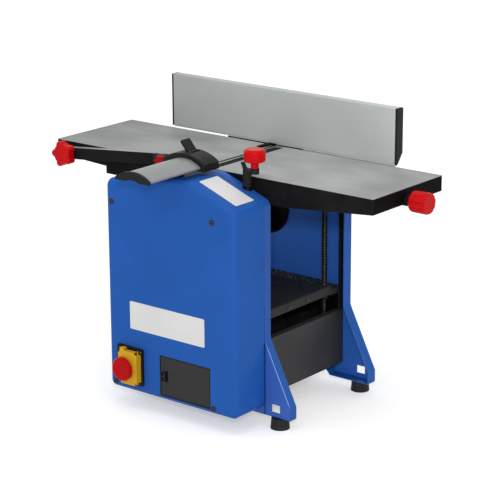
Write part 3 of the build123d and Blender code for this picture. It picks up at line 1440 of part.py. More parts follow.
with BuildPart() as guard_lever:
    lever_plane = Plane(origin=(lever_x, lever_y - lever_width / 2, lever_pin_z),
                        x_dir=(-cos(radians(lever_angle)), 0, sin(radians(lever_angle))), z_dir=(0, 1, 0))
    with BuildSketch(lever_plane):
        Circle(lever_eye_r)
        with Locations((lever_length / 2, 0)):
            Rectangle(lever_length, lever_thickness)
    extrude(amount=lever_width)
    with Locations((lever_x, lever_y, lever_pin_z)):
        Cylinder(lever_pin_r, lever_width + 2 * (lever_ear_gap + lever_ear) - 0.6, rotation=(90, 0, 0))
guard_lever.part.label = "guard_lever"
export_step(guard_lever.part, "parts/guard_lever.step")

bar_start = near_y - bar_reach + guard_cap
bar_profile_length = saddle_back - bar_start

with BuildPart() as guard_bar:
    with BuildSketch(Plane.XZ.offset(-bar_start)):
        add(bar_outline(0))
    extrude(amount=-bar_profile_length)
    with BuildSketch(Plane.XZ.offset(-bar_start)):
        add(bar_outline(-bar_guard_wall))
        with Locations((0, bar_guard_z)):
            Rectangle(bar_guard_width - 2 * bar_guard_lip, 4 * bar_guard_wall)
    extrude(amount=-bar_profile_length, mode=Mode.SUBTRACT)
guard_bar.part.label = "guard_bar"
export_step(guard_bar.part, "parts/guard_bar.step")

with BuildPart() as guard_bar_cap:
    with BuildSketch(Plane.XZ.offset(-bar_start)):
        add(bar_outline(guard_cap_proud))
        with Locations((0, bar_guard_z - guard_cap_proud)):
            Ellipse(bar_guard_width * 0.2, bar_guard_wall, mode=Mode.SUBTRACT)
    extrude(amount=guard_cap)
guard_bar_cap.part.label = "guard_bar_cap"
export_step(guard_bar_cap.part, "parts/guard_bar_cap.step")

with BuildPart() as guard_pivot_knob:
    with Locations(Location((arm_pivot_x, arm_front - slide_fit, arm_pivot_z), (90, 0, 0))):
        add(lobed_knob(pivot_knob_r, pivot_knob_lobes, pivot_knob_height, pivot_stud_r,
                       arm_thickness + arm_table_gap + skirt_wall / 2, first=180 / pivot_knob_lobes))
guard_pivot_knob.part.label = "guard_pivot_knob"
export_step(guard_pivot_knob.part, "parts/guard_pivot_knob.step")

with BuildPart() as guard_clamp_knob:
    with Locations(Location((clamp_x, arm_front - tongue_thickness - slide_fit, clamp_z), (90, 0, 0))):
        add(lobed_knob(clamp_knob_r, clamp_knob_lobes, clamp_knob_height, clamp_stud_r,
                       tongue_thickness + arm_thickness - 2, rounding=1.5))
guard_clamp_knob.part.label = "guard_clamp_knob"
export_step(guard_clamp_knob.part, "parts/guard_clamp_knob.step")

# Dust outlet through the rear panel, and cable gland
with BuildPart() as dust_port:
    for start, depth, radius in ((panel_out, port_flange, port_flange_r), (panel_out, port_length, port_r)):
        with BuildSketch(Plane.XZ.offset(-start)):
            with Locations((port_x, port_z)):
                Circle(radius)
        extrude(amount=-depth)
    with BuildSketch(Plane.XZ.offset(-panel_out)):
        with Locations((port_x, port_z)):
            Circle(port_r - port_wall)
    extrude(amount=-port_length, mode=Mode.SUBTRACT)
    # Clamping ring on the inner face of the panel
    with BuildSketch(Plane.XZ.offset(-panel_in)):
        with Locations((port_x, port_z)):
            Circle(port_r)
            Circle(port_r - port_wall, mode=Mode.SUBTRACT)
    extrude(amount=port_ring)
dust_port.part.label = "dust_port"
export_step(dust_port.part, "parts/dust_port.step")

# Push-in cap that closes the outlet while no hose is on it
with BuildPart() as dust_cap:
    cap_y = panel_out + port_length
    with BuildSketch(Plane.XZ.offset(-cap_y - slide_fit)):
        with Locations((port_x, port_z)):
            Circle(port_r - port_wall / 2)
    extrude(amount=-cap_disc)
    with BuildSketch(Plane.XZ.offset(-cap_y - slide_fit)):
        with Locations((port_x, port_z)):
            Circle(port_r - port_wall - slide_fit)
            Circle(port_r - 2 * port_wall - slide_fit, mode=Mode.SUBTRACT)
    extrude(amount=cap_plug + slide_fit)
    with BuildSketch(Plane.XZ.offset(-cap_y - slide_fit - cap_disc)):
        with Locations((port_x, port_z)):
            RectangleRounded(port_r, cap_grip, cap_grip * 0.4)
    extrude(amount=-cap_grip)
dust_cap.part.label = "dust_cap"
export_step(dust_cap.part, "parts/dust_cap.step")

with BuildPart() as cable_gland:
    with BuildSketch(Plane.XZ.offset(-panel_out)):
        with Locations((gland_x, gland_z)):
            RegularPolygon(gland_nut_r, 6)
    extrude(amount=-gland_length / 2)
    with BuildSketch(Plane.XZ.offset(-panel_in)):
        with Locations((gland_x, gland_z)):
            Circle(gland_r - seat_fit)
    extrude(amount=-(gland_length + sheet))
    with BuildSketch(Plane.XZ.offset(-panel_in)):
        with Locations((gland_x, gland_z)):
            Circle(gland_bore_r)
    extrude(amount=-(gland_length + sheet), mode=Mode.SUBTRACT)
cable_gland.part.label = "cable_gland"
export_step(cable_gland.part, "parts/cable_gland.step")
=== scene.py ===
import json
from math import cos, pi, radians, sin

import bmesh
import bpy
from mathutils import Matrix, Vector


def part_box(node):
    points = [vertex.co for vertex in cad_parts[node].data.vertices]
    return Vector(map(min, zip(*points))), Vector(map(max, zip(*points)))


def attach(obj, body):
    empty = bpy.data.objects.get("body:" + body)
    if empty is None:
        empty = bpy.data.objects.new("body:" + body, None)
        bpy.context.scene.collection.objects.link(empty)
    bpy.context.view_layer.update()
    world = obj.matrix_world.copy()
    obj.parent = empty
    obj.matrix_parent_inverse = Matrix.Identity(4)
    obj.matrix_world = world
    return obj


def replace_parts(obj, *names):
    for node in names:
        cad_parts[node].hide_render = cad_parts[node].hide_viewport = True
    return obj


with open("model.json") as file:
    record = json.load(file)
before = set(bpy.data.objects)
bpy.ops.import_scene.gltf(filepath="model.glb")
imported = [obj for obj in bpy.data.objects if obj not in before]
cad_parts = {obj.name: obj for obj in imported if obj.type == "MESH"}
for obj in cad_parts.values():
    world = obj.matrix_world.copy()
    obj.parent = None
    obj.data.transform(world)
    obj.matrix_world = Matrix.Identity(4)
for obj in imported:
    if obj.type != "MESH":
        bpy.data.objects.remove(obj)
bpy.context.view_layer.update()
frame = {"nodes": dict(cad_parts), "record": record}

# Camera at the photograph's angle
CAMERA_PLACE = Vector((2.1618, -2.6703, 1.2893))
CAMERA_BACK = Vector((0.60123, -0.74698, 0.2838)).normalized()
CAMERA_ROLL = radians(-0.267)
CAMERA_LENS = 138.07
CAMERA_SENSOR = 36.0

# Floor, surroundings and lamps
WHITE = (1, 1, 1, 1)
WORLD_LIGHT = 0.78
WORLD_SHOWN = 1.0
FLOOR_REACH = 12.0
FLOOR_COLOR = (0.8, 0.8, 0.8, 1)
FLOOR_GLOW = 0.42
LAMP_AIM = (0, 0, 0.3)

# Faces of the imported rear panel; all sizes here are in metres
PANEL_SHEET = 0.002
PANEL_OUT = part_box("rear_side_panel")[1].y
PANEL_IN = PANEL_OUT - PANEL_SHEET

# Lift screws and depth screw
LIFT_PITCH = 0.004
LIFT_CREST = 0.006
LIFT_ROOT = 0.0044
COLLAR_BORE = 0.0062
COLLAR_RADIUS = 0.0085
COLLAR_CHAMFER = 0.0005
SPROCKET_EDGE = 0.001
SPROCKET_TEETH = 14
TOOTH_RADII = (0.0076, 0.0084, 0.0089, 0.0084)
DEPTH_PITCH = 0.002
DEPTH_CREST = 0.005
DEPTH_ROOT = 0.0043
DEPTH_THREAD = 0.19
DEPTH_RIBS = 10

# Painted highlight along the side panels' bends, between two heights
BEND_HIGHLIGHT_TOP = 0.158
BEND_HIGHLIGHT_LOW = 0.044
BEND_HIGHLIGHT_COLOR = (0.42, 0.60, 0.86)


def add_camera():
    """The photograph's view, for a square image."""
    data = bpy.data.cameras.new("camera")
    data.lens = CAMERA_LENS
    data.sensor_width = CAMERA_SENSOR
    camera = bpy.data.objects.new("camera", data)
    bpy.context.scene.collection.objects.link(camera)
    level = Vector((0, 0, 1)).cross(CAMERA_BACK).normalized()
    above = CAMERA_BACK.cross(level)
    right = level * cos(CAMERA_ROLL) + above * sin(CAMERA_ROLL)
    up = above * cos(CAMERA_ROLL) - level * sin(CAMERA_ROLL)
    turn = Matrix((right, up, CAMERA_BACK)).transposed().to_4x4()
    camera.matrix_world = Matrix.Translation(CAMERA_PLACE) @ turn
    bpy.context.scene.camera = camera


def node(tree, kind, **settings):
    """A new shader node with some of its settings."""
    made = tree.nodes.new(kind)
    for key, value in settings.items():
        setattr(made, key, value)
    return made


def seen_ray(tree):
    """1 on rays that show the background: from the camera, or off or through a surface."""
    path = node(tree, "ShaderNodeLightPath")
    first = node(tree, "ShaderNodeMath", operation="MAXIMUM")
    tree.links.new(path.outputs["Is Camera Ray"], first.inputs[0])
    tree.links.new(path.outputs["Is Glossy Ray"], first.inputs[1])
    second = node(tree, "ShaderNodeMath", operation="MAXIMUM")
    tree.links.new(first.outputs[0], second.inputs[0])
    tree.links.new(path.outputs["Is Transmission Ray"], second.inputs[1])
    return second.outputs[0]


def add_world():
    """Even white surroundings, which light the object less than they show."""
    world = bpy.data.worlds.new("studio")
    bpy.context.scene.world = world
    world.use_nodes = True
    tree = world.node_tree
    light = tree.nodes["Background"]
    light.inputs["Color"].default_value = WHITE
    light.inputs["Strength"].default_value = WORLD_LIGHT
    shown = node(tree, "ShaderNodeBackground")
    shown.inputs["Color"].default_value = WHITE
    shown.inputs["Strength"].default_value = WORLD_SHOWN
    mix = node(tree, "ShaderNodeMixShader")
    tree.links.new(seen_ray(tree), mix.inputs[0])
    tree.links.new(light.outputs[0], mix.inputs[1])
    tree.links.new(shown.outputs[0], mix.inputs[2])
    tree.links.new(mix.outputs[0], tree.nodes["World Output"].inputs["Surface"])


def add_floor():
    """A white floor that keeps the shadow."""
    mesh = bpy.data.meshes.new("floor")
    far = FLOOR_REACH
    corners = [(-far, -far, 0), (far, -far, 0), (far, far, 0), (-far, far, 0)]
    mesh.from_pydata(corners, [], [(0, 1, 2, 3)])
    floor = bpy.data.objects.new("floor", mesh)
    bpy.context.scene.collection.objects.link(floor)
    material = bpy.data.materials.new("floor_white")
    material.use_nodes = True
    tree = material.node_tree
    surface = tree.nodes["Principled BSDF"]
    surface.inputs["Base Color"].default_value = FLOOR_COLOR
    surface.inputs["Roughness"].default_value = 1.0
    surface.inputs["Specular IOR Level"].default_value = 0.0
    surface.inputs["Emission Color"].default_value = WHITE
    share = node(tree, "ShaderNodeMath", operation="MULTIPLY")
    share.inputs[1].default_value = FLOOR_GLOW
    tree.links.new(seen_ray(tree), share.inputs[0])
    tree.links.new(share.outputs[0], surface.inputs["Emission Strength"])
    mesh.materials.append(material)


def add_lamp(name, place, size, energy):
    """A soft square lamp that looks at the object."""
    data = bpy.data.lights.new(name, "AREA")
    data.size = size
    data.energy = energy
    lamp = bpy.data.objects.new(name, data)
    bpy.context.scene.collection.objects.link(lamp)
    lamp.location = place
    way = Vector(LAMP_AIM) - Vector(place)
    lamp.rotation_euler = way.to_track_quat("-Z", "Y").to_euler()


add_camera()
add_world()
add_floor()
add_lamp("top_lamp", (0.3, -0.7, 2.6), size=1.6, energy=9)
add_lamp("key_lamp", (2.16, -2.67, 1.62), size=0.25, energy=32)
bpy.context.scene.view_settings.view_transform = "Standard"


def centre(name):
    """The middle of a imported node's box."""
    low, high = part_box(name)
    return (low + high) / 2


def shade(color, factor):
    """A colour made lighter or darker."""
    return tuple(min(1.0, c * factor) for c in color)


def lifted(color, amount):
    """A colour with the same amount added all over."""
    return tuple(c + amount for c in color)


def faded(color, tone, share):
    """A colour moved part of the way towards a grey."""
    return tuple(c + (tone - c) * share for c in color)


# Every material made below, by name
finishes = {}


class Finish:
    """A procedural material in object coordinates, in metres, so that its grain moves with its body."""

    def __init__(self, name):
        self.name = name
        self.material = bpy.data.materials.new(name)
        self.material.use_nodes = True
        self.tree = self.material.node_tree
        self.surface = self.tree.nodes["Principled BSDF"]
        self.place = node(self.tree, "ShaderNodeTexCoord").outputs["Object"]
        self.normal = None

    def link(self, output, socket):
        self.tree.links.new(output, socket)

    def noise(self, scale, detail=3.0, stretch=(1, 1, 1), roughness=0.5):
        """Noise from about 0 to 1; stretch above 1 squeezes it along an axis."""
        mapping = node(self.tree, "ShaderNodeMapping")
        mapping.inputs["Scale"].default_value = stretch
        self.link(self.place, mapping.inputs["Vector"])
        texture = node(self.tree, "ShaderNodeTexNoise")
        texture.inputs["Scale"].default_value = scale
        texture.inputs["Detail"].default_value = detail
        texture.inputs["Roughness"].default_value = roughness
        self.link(mapping.outputs[0], texture.inputs["Vector"])
        return texture.outputs["Fac"]

    def span(self, value, low, high, start=0.3, end=0.7):
        """value from start to end, turned into low to high."""
        spread = node(self.tree, "ShaderNodeMapRange")
        ends = {"From Min": start, "From Max": end, "To Min": low, "To Max": high}
        for key, number in ends.items():
            spread.inputs[key].default_value = number
        self.link(value, spread.inputs["Value"])
        return spread.outputs["Result"]

    def mix(self, share, first, second):
        """A colour between two, each a colour or an output."""
        made = node(self.tree, "ShaderNodeMix", data_type="RGBA")
        for value, slot in ((share, 0), (first, 6), (second, 7)):
            if isinstance(value, tuple):
                made.inputs[slot].default_value = (*value, 1)
            else:
                self.link(value, made.inputs[slot])
        return made.outputs[2]

    def blend(self, share, first, second):
        """A number between two outputs."""
        made = node(self.tree, "ShaderNodeMix", data_type="FLOAT")
        for value, slot in ((share, 0), (first, 2), (second, 3)):
            self.link(value, made.inputs[slot])
        return made.outputs[0]

    def tones(self, value, color, dark, light, start=0.3, end=0.7):
        """A colour that goes from darker to lighter as value goes from start to end."""
        return self.mix(self.span(value, 0, 1, start, end), shade(color, dark), shade(color, light))

    def combine(self, operation, first, second):
        """Two numbers put together, the second an output or a plain number."""
        made = node(self.tree, "ShaderNodeMath", operation=operation)
        self.link(first, made.inputs[0])
        if isinstance(second, (int, float)):
            made.inputs[1].default_value = second
        else:
            self.link(second, made.inputs[1])
        return made.outputs[0]

    def plus(self, first, second):
        return self.combine("ADD", first, second)

    def minus(self, first, second):
        return self.combine("SUBTRACT", first, second)

    def times(self, first, second):
        return self.combine("MULTIPLY", first, second)

    def power(self, first, second):
        return self.combine("POWER", first, second)

    def larger(self, first, second):
        return self.combine("MAXIMUM", first, second)

    def size(self, value):
        """A number without its sign."""
        return self.combine("ABSOLUTE", value, 0)

    def along(self, axis):
        """One object coordinate."""
        split = node(self.tree, "ShaderNodeSeparateXYZ")
        self.link(self.place, split.inputs[0])
        return split.outputs["XYZ".index(axis)]

    def facing(self, axis):
        """How far the surface faces along an axis, from -1 to 1."""
        turn = node(self.tree, "ShaderNodeVectorTransform", vector_type="NORMAL",
                    convert_from="WORLD", convert_to="OBJECT")
        geometry = node(self.tree, "ShaderNodeNewGeometry")
        self.link(geometry.outputs["True Normal"], turn.inputs[0])
        split = node(self.tree, "ShaderNodeSeparateXYZ")
        self.link(turn.outputs[0], split.inputs[0])
        return split.outputs["XYZ".index(axis)]

    def round_edges(self, radius):
        """Softens sharp edges in the shading, and returns 1 along them and 0 on flat places."""
        bevel = node(self.tree, "ShaderNodeBevel", samples=4)
        bevel.inputs["Radius"].default_value = radius
        self.normal = bevel.outputs["Normal"]
        geometry = node(self.tree, "ShaderNodeNewGeometry")
        level = node(self.tree, "ShaderNodeVectorMath", operation="DOT_PRODUCT")
        self.link(self.normal, level.inputs[0])
        self.link(geometry.outputs["Normal"], level.inputs[1])
        return self.span(level.outputs["Value"], 1.0, 0.0, 0.80, 0.99)

    def painted_light_along_x(self, color, steps):
        """A colour made lighter or darker along X, which is painted light and shade; steps are (place,
        factor), each factor below 2.
        """
        first, last = steps[0][0], steps[-1][0]
        ramp = node(self.tree, "ShaderNodeValToRGB")
        ramp.color_ramp.interpolation = "EASE"
        while len(ramp.color_ramp.elements) < len(steps):
            ramp.color_ramp.elements.new(1.0)
        for element, (place, factor) in zip(ramp.color_ramp.elements, steps):
            element.position = (place - first) / (last - first)
            element.color = (factor / 2, factor / 2, factor / 2, 1)
        self.link(self.span(self.along("X"), 0, 1, first, last), ramp.inputs["Fac"])
        half = node(self.tree, "ShaderNodeMix", data_type="RGBA", blend_type="MULTIPLY")
        half.inputs[0].default_value = 1.0
        self.link(color, half.inputs[6])
        self.link(ramp.outputs["Color"], half.inputs[7])
        whole = node(self.tree, "ShaderNodeMix", data_type="RGBA", blend_type="ADD")
        whole.inputs[0].default_value = 1.0
        self.link(half.outputs[2], whole.inputs[6])
        self.link(half.outputs[2], whole.inputs[7])
        return whole.outputs[2]

    def bump(self, value, depth):
        """Relief of a depth in metres, on top of any relief given before."""
        relief = node(self.tree, "ShaderNodeBump")
        relief.inputs["Distance"].default_value = depth
        relief.inputs["Strength"].default_value = 1.0
        self.link(value, relief.inputs["Height"])
        if self.normal is not None:
            self.link(self.normal, relief.inputs["Normal"])
        self.normal = relief.outputs["Normal"]

    def done(self, color, roughness, metallic=0.0, specular=0.5):
        """Ties colour and roughness, each an output, to the shader, sets what is the same all over, and
        keeps the material under its name."""
        self.link(color, self.surface.inputs["Base Color"])
        self.link(roughness, self.surface.inputs["Roughness"])
        if isinstance(metallic, (int, float)):
            self.surface.inputs["Metallic"].default_value = metallic
        else:
            self.link(metallic, self.surface.inputs["Metallic"])
        self.surface.inputs["Specular IOR Level"].default_value = specular
        if self.normal is not None:
            self.link(self.normal, self.surface.inputs["Normal"])
        finishes[self.name] = self.material


def paint(name, color, roughness, specular=0.12, peel=0.00001, wear=0.2, edge=0.0009,
          highlit_bends=False, front=None, shadow_line_x=0.0):
    """Sprayed paint: slight clouds in the colour, orange peel and paler edges, and, where asked, a painted
    highlight along the legs' bends.
    Faces towards the operator can have a lighter colour of their own, which is painted light, with a painted
    shadow line beside the cover."""
    finish = Finish(name)
    edges = finish.round_edges(edge)
    worn = finish.times(edges, finish.span(finish.noise(70, 4), 0.2, 1.0))
    base = finish.tones(finish.noise(9, 2), color, 0.92, 1.08, 0.2, 0.8)
    if front:
        # Faces towards -Y take the front colour, a lighter colour which is painted light
        lit_face = finish.span(finish.facing("Y"), 1, 0, -0.98, -0.90)
        base = finish.mix(lit_face, base, front)
        # A painted shadow line on those faces, just outside the cover's side
        if shadow_line_x > 0:
            across = finish.size(finish.along("X"))
            inner = finish.span(across, 0, 1, shadow_line_x - 0.0010, shadow_line_x - 0.0004)
            outer = finish.span(across, 1, 0, shadow_line_x + 0.0016, shadow_line_x + 0.0030)
            line = finish.times(finish.times(inner, outer), lit_face)
            base = finish.mix(line, base, shade(color, 0.3))
    color_out = finish.mix(finish.times(worn, wear), base, faded(color, 0.45, 0.5))
    if highlit_bends:
        # A pale colour on the legs' bends, with some pale edge wear; on the bends it is a painted highlight
        level = finish.size(finish.facing("Y"))
        bend = finish.times(finish.span(level, 0, 1, 0.56, 0.64), finish.span(level, 1, 0, 0.76, 0.84))
        bend_highlight_and_wear = finish.larger(bend, finish.times(edges, 0.3))
        below = finish.span(finish.along("Z"), 1, 0, BEND_HIGHLIGHT_TOP - 0.012, BEND_HIGHLIGHT_TOP)
        above = finish.span(finish.along("Z"), 0, 0.95, BEND_HIGHLIGHT_LOW, BEND_HIGHLIGHT_LOW + 0.008)
        color_out = finish.mix(finish.times(bend_highlight_and_wear, finish.times(below, above)), color_out, BEND_HIGHLIGHT_COLOR)
    dull = finish.span(finish.noise(28, 4), roughness * 0.85, roughness * 1.2, 0.2, 0.8)
    finish.bump(finish.noise(420, 2), peel)
    finish.done(color_out, dull, specular=specular)


def plastic(name, color, roughness, specular=0.2, grain=0.00002, edge=0.0006, wear=0.1):
    """Moulded plastic: fine grain, faint flow clouds, slightly paler edges."""
    finish = Finish(name)
    edges = finish.round_edges(edge)
    clouds = finish.tones(finish.noise(24, 3), color, 0.9, 1.1, 0.2, 0.8)
    color_out = finish.mix(finish.times(edges, wear), clouds, faded(color, 0.5, 0.35))
    dull = finish.span(finish.noise(55, 4), roughness * 0.85, roughness * 1.2, 0.2, 0.8)
    finish.bump(finish.noise(1600, 2), grain)
    finish.done(color_out, dull, specular=specular)


def brushed(name, color, roughness, stretch, line=0.05, metallic=1.0, steps=None):
    """Metal with fine lines, which run along the axis whose stretch is small; steps paint light and shade on
    it along X.
    """
    finish = Finish(name)
    edges = finish.round_edges(0.0005)
    lines = finish.noise(90, 5, stretch, 0.65)
    clouds = finish.noise(7, 3)
    tone = finish.plus(finish.span(lines, -line, line), finish.span(clouds, -0.05, 0.05))
    base = finish.tones(tone, color, 0.86, 1.12, -0.1, 0.1)
    if steps:
        base = finish.painted_light_along_x(base, steps)
    color_out = finish.mix(finish.times(edges, 0.35), base, shade(color, 1.35))
    dull = finish.plus(finish.span(lines, roughness - 0.05, roughness + 0.07),
                       finish.span(clouds, -0.03, 0.03))
    finish.bump(lines, 0.00002)
    finish.done(color_out, dull, metallic=metallic)


def greased_thread(name, screw, crest_color):
    """A lift screw: bright on the crests of its thread, with dark grease between them."""
    finish = Finish(name)
    finish.round_edges(0.0003)
    mid = centre(screw)
    across = finish.power(finish.minus(finish.along("X"), mid.x), 2)
    deep = finish.power(finish.minus(finish.along("Y"), mid.y), 2)
    radius = finish.power(finish.plus(across, deep), 0.5)
    crest = finish.span(radius, 0, 1, LIFT_CREST - 0.0010, LIFT_CREST - 0.0001)
    clean = finish.times(crest, finish.span(finish.noise(160, 3), 0.2, 1.0))
    color_out = finish.mix(clean, (0.012, 0.010, 0.008), crest_color)
    finish.bump(finish.noise(700, 3), 0.00004)
    finish.done(color_out, finish.span(finish.noise(90, 3), 0.25, 0.45), metallic=0.8)


def worn_bed(name, color, end_color, chip_color, roughness):
    """A painted bed, rubbed along the middle, with machined ends and chips lying near its far edge."""
    finish = Finish(name)
    edges = finish.round_edges(0.0009)
    rubbed = finish.tones(finish.noise(14, 4, (0.4, 2.5, 1)), color, 0.8, 1.35)
    far = finish.span(finish.along("Y"), 0, 1, 0.075, 0.098)
    lying = finish.times(far, finish.span(finish.facing("Z"), 0, 1, 0.7, 0.9))
    chips = finish.times(finish.span(finish.noise(230, 2), 0, 1, 0.60, 0.67), lying)
    machined = finish.mix(finish.size(finish.facing("X")), rubbed, end_color)
    dusty = finish.mix(finish.times(chips, 0.8), machined, chip_color)
    color_out = finish.mix(finish.times(edges, 0.3), dusty, lifted(color, 0.06))
    dull = finish.span(finish.noise(60, 3), roughness - 0.08, roughness + 0.08)
    finish.bump(finish.noise(380, 3), 0.00003)
    finish.done(color_out, dull, specular=0.03)


def cast(name, color, roughness):
    """Rough cast metal."""
    finish = Finish(name)
    edges = finish.round_edges(0.001)
    base = finish.tones(finish.noise(60, 5), color, 0.75, 1.2)
    color_out = finish.mix(finish.times(edges, 0.4), base, shade(color, 1.5))
    dull = finish.span(finish.noise(140, 3), roughness - 0.1, roughness + 0.12)
    finish.bump(finish.noise(650, 4), 0.00012)
    finish.done(color_out, dull, metallic=1.0)


def black_with_highlit_top(name, color, bright, roughness):
    """Black paint with a bright metal colour on the upward faces, which is a painted highlight."""
    finish = Finish(name)
    edges = finish.round_edges(0.0006)
    # Upward faces get a light metal colour: painted highlight
    top = finish.span(finish.facing("Z"), 0, 1, 0.95, 0.985)
    metal = finish.tones(finish.noise(80, 5, (0.35, 9, 9), 0.7), bright, 0.92, 1.08)
    clouds = finish.tones(finish.noise(9, 2), color, 0.9, 1.1, 0.2, 0.8)
    painted = finish.mix(finish.times(edges, 0.1), clouds, lifted(color, 0.1))
    color_out = finish.mix(top, painted, metal)
    dull = finish.span(finish.noise(60, 3), roughness - 0.05, roughness + 0.05)
    finish.bump(finish.noise(420, 2), 0.00001)
    finish.done(color_out, dull, metallic=finish.times(top, 0.25), specular=0.05)


def cutter_finish(name, polished, shaded_tone):
    """A cutter block: polished behind each knife, and dark in front of it, which is painted shade."""
    finish = Finish(name)
    edges = finish.round_edges(0.0004)
    rise = finish.minus(finish.along("Z"), centre("cutter_block").z)
    # 1 behind each knife; the dark colour in front of each knife is painted shade
    behind = finish.span(finish.times(finish.along("X"), rise), 1, 0, -0.00002, -0.000005)
    lines = finish.noise(90, 5, (6, 0.3, 6), 0.65)
    bright = finish.tones(lines, polished, 0.9, 1.1)
    dark = finish.mix(finish.times(edges, 0.3), shaded_tone, shade(shaded_tone, 1.6))
    color_out = finish.mix(behind, dark, bright)
    dull = finish.span(lines, 0.36, 0.46)
    finish.bump(lines, 0.00002)
    finish.done(color_out, dull, metallic=finish.times(behind, 0.25), specular=0.1)


def ground_table(name, top_color, side_color, steps):
    """A table with a ground metal top and lip, with painted light and shade along X, and a painted casting
    below it, with painted shade on its end faces.
    """
    finish = Finish(name)
    edges = finish.round_edges(0.0008)
    low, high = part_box("infeed_table")
    lip_x, top_z = low.x, high.z
    flat = finish.span(finish.along("Z"), 0, 1, top_z - 0.0009, top_z - 0.0006)
    inward = finish.span(finish.size(finish.along("X")), 1, 0, lip_x + 0.0002, lip_x + 0.0008)
    upper = finish.span(finish.along("Z"), 0, 1, top_z - 0.0056, top_z - 0.0050)
    top = finish.larger(flat, finish.times(inward, upper))
    lines = finish.noise(80, 5, (0.35, 9, 9), 0.7)
    clouds = finish.noise(9, 5, (1, 1.8, 1))
    tone = finish.plus(finish.span(lines, -0.04, 0.04), finish.span(clouds, -0.15, 0.15))
    metal = finish.painted_light_along_x(finish.tones(tone, top_color, 0.86, 1.1, -0.12, 0.12), steps)
    casting = finish.tones(finish.noise(22, 5), side_color, 0.75, 1.35)
    painted = finish.mix(finish.times(edges, 0.5), casting, lifted(side_color, 0.12))
    # Faces towards X are darker still: painted shade
    end = finish.span(finish.size(finish.facing("X")), 0, 1, 0.9, 0.98)
    painted = finish.mix(end, painted, shade(side_color, 0.45))
    color_out = finish.mix(top, painted, metal)
    dull_top = finish.plus(finish.span(lines, 0.45, 0.58), finish.span(clouds, -0.04, 0.04))
    dull = finish.blend(top, finish.span(finish.noise(90, 3), 0.42, 0.58), dull_top)
    finish.bump(finish.blend(top, finish.noise(520, 3), finish.times(lines, 0.2)), 0.00007)
    finish.done(color_out, dull, metallic=finish.times(top, 0.25), specular=0.02)


def rubber(name, color, roughness):
    """Dull rubber with dust in its grain."""
    finish = Finish(name)
    edges = finish.round_edges(0.0007)
    base = finish.mix(finish.span(finish.noise(45, 5), 0, 0.5), color, lifted(color, 0.03))
    color_out = finish.mix(finish.times(edges, 0.3), base, lifted(color, 0.05))
    dull = finish.span(finish.noise(60, 3), roughness - 0.08, roughness + 0.08)
    finish.bump(finish.noise(900, 3), 0.00008)
    finish.done(color_out, dull, specular=0.2)


def film(name, color):
    """A bare printed film: smooth, with faint handling marks."""
    finish = Finish(name)
    edges = finish.round_edges(0.0004)
    base = finish.tones(finish.noise(14, 4), color, 0.96, 1.03)
    color_out = finish.mix(finish.times(edges, 0.4), base, shade(color, 0.72))
    finish.bump(finish.noise(260, 3), 0.00002)
    finish.done(color_out, finish.span(finish.noise(40, 5), 0.28, 0.42), specular=0.2)


BLUE = (0.019, 0.103, 0.415)
BLACK = (0.008, 0.008, 0.0085)
RED = (0.465, 0.004, 0.005)
YELLOW = (0.67, 0.37, 0.010)
ALUMINIUM = (0.455, 0.476, 0.474)
# Painted light and shade along X for the table tops and the fence, as (place, factor)
TABLE_LIGHT_STEPS = ((-0.37, 0.78), (-0.15, 1.0), (-0.03, 1.16), (0.12, 1.2), (0.27, 1.18), (0.35, 0.94))
FENCE_LIGHT_STEPS = ((-0.27, 0.88), (-0.1, 0.98), (0.05, 1.0), (0.27, 1.2))

paint("blue_paint", BLUE, 0.2, specular=0.04, wear=0.0, edge=0.003)
# Side panels: faces towards -Y get a lighter colour, which is painted light, and the legs' bends get a painted
# highlight; the front panel also gets a painted shadow line beside the cover
paint("panel_paint", (0.020, 0.100, 0.400), 0.25, specular=0.10, edge=0.0016, highlit_bends=True,
      front=(0.047, 0.130, 0.480), shadow_line_x=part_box("front_cover")[1].x)
paint("rear_panel_paint", (0.017, 0.106, 0.425), 0.28, specular=0.08, edge=0.0016, highlit_bends=True,
      front=(0.036, 0.146, 0.565))
paint("black_paint", (0.016, 0.016, 0.0166), 0.42, specular=0.08, peel=0.00003)
worn_bed("bed_paint", (0.028, 0.0295, 0.0265), (0.040, 0.040, 0.041), (0.70, 0.68, 0.60), 0.45)
paint("apron_paint", (0.043, 0.043, 0.044), 0.35, specular=0.1, peel=0.00002)
black_with_highlit_top("arm_paint", (0.0085, 0.0085, 0.009), (0.34, 0.35, 0.348), 0.45)
ground_table("machined_table", (0.365, 0.375, 0.373), (0.0105, 0.0105, 0.011), TABLE_LIGHT_STEPS)
brushed("brushed_aluminium", ALUMINIUM, 0.45, (0.25, 6, 6), 0.03, metallic=0.25, steps=FENCE_LIGHT_STEPS)
brushed("bar_aluminium", shade(ALUMINIUM, 0.6), 0.4, (6, 0.25, 6), metallic=0.4)
brushed("steel", (0.42, 0.42, 0.43), 0.28, (5, 0.4, 5))
cast("cast_metal", (0.155, 0.158, 0.163), 0.5)
cutter_finish("cutter_steel", (0.40, 0.41, 0.41), (0.012, 0.012, 0.0125))
brushed("dark_steel", (0.05, 0.05, 0.053), 0.35, (3, 3, 3))
greased_thread("front_thread", "front_lift_screw", (0.07, 0.066, 0.06))
greased_thread("rear_thread", "rear_lift_screw", (0.12, 0.11, 0.095))
plastic("red_plastic", RED, 0.2, specular=0.05, grain=0.000004)
plastic("grip_red", (0.56, 0.003, 0.005), 0.17, specular=0.07, grain=0.000003, edge=0.002, wear=0.03)
plastic("yellow_plastic", YELLOW, 0.36, grain=0.000015)
plastic("green_plastic", (0.008, 0.13, 0.02), 0.32)
plastic("black_plastic", BLACK, 0.46, specular=0.15)
plastic("port_black", (0.003, 0.003, 0.0033), 0.6, specular=0.04)
plastic("grey_plastic", (0.024, 0.024, 0.025), 0.5)
film("white_plate", (0.72, 0.72, 0.71))
rubber("foot_rubber", (0.012, 0.012, 0.012), 0.62)
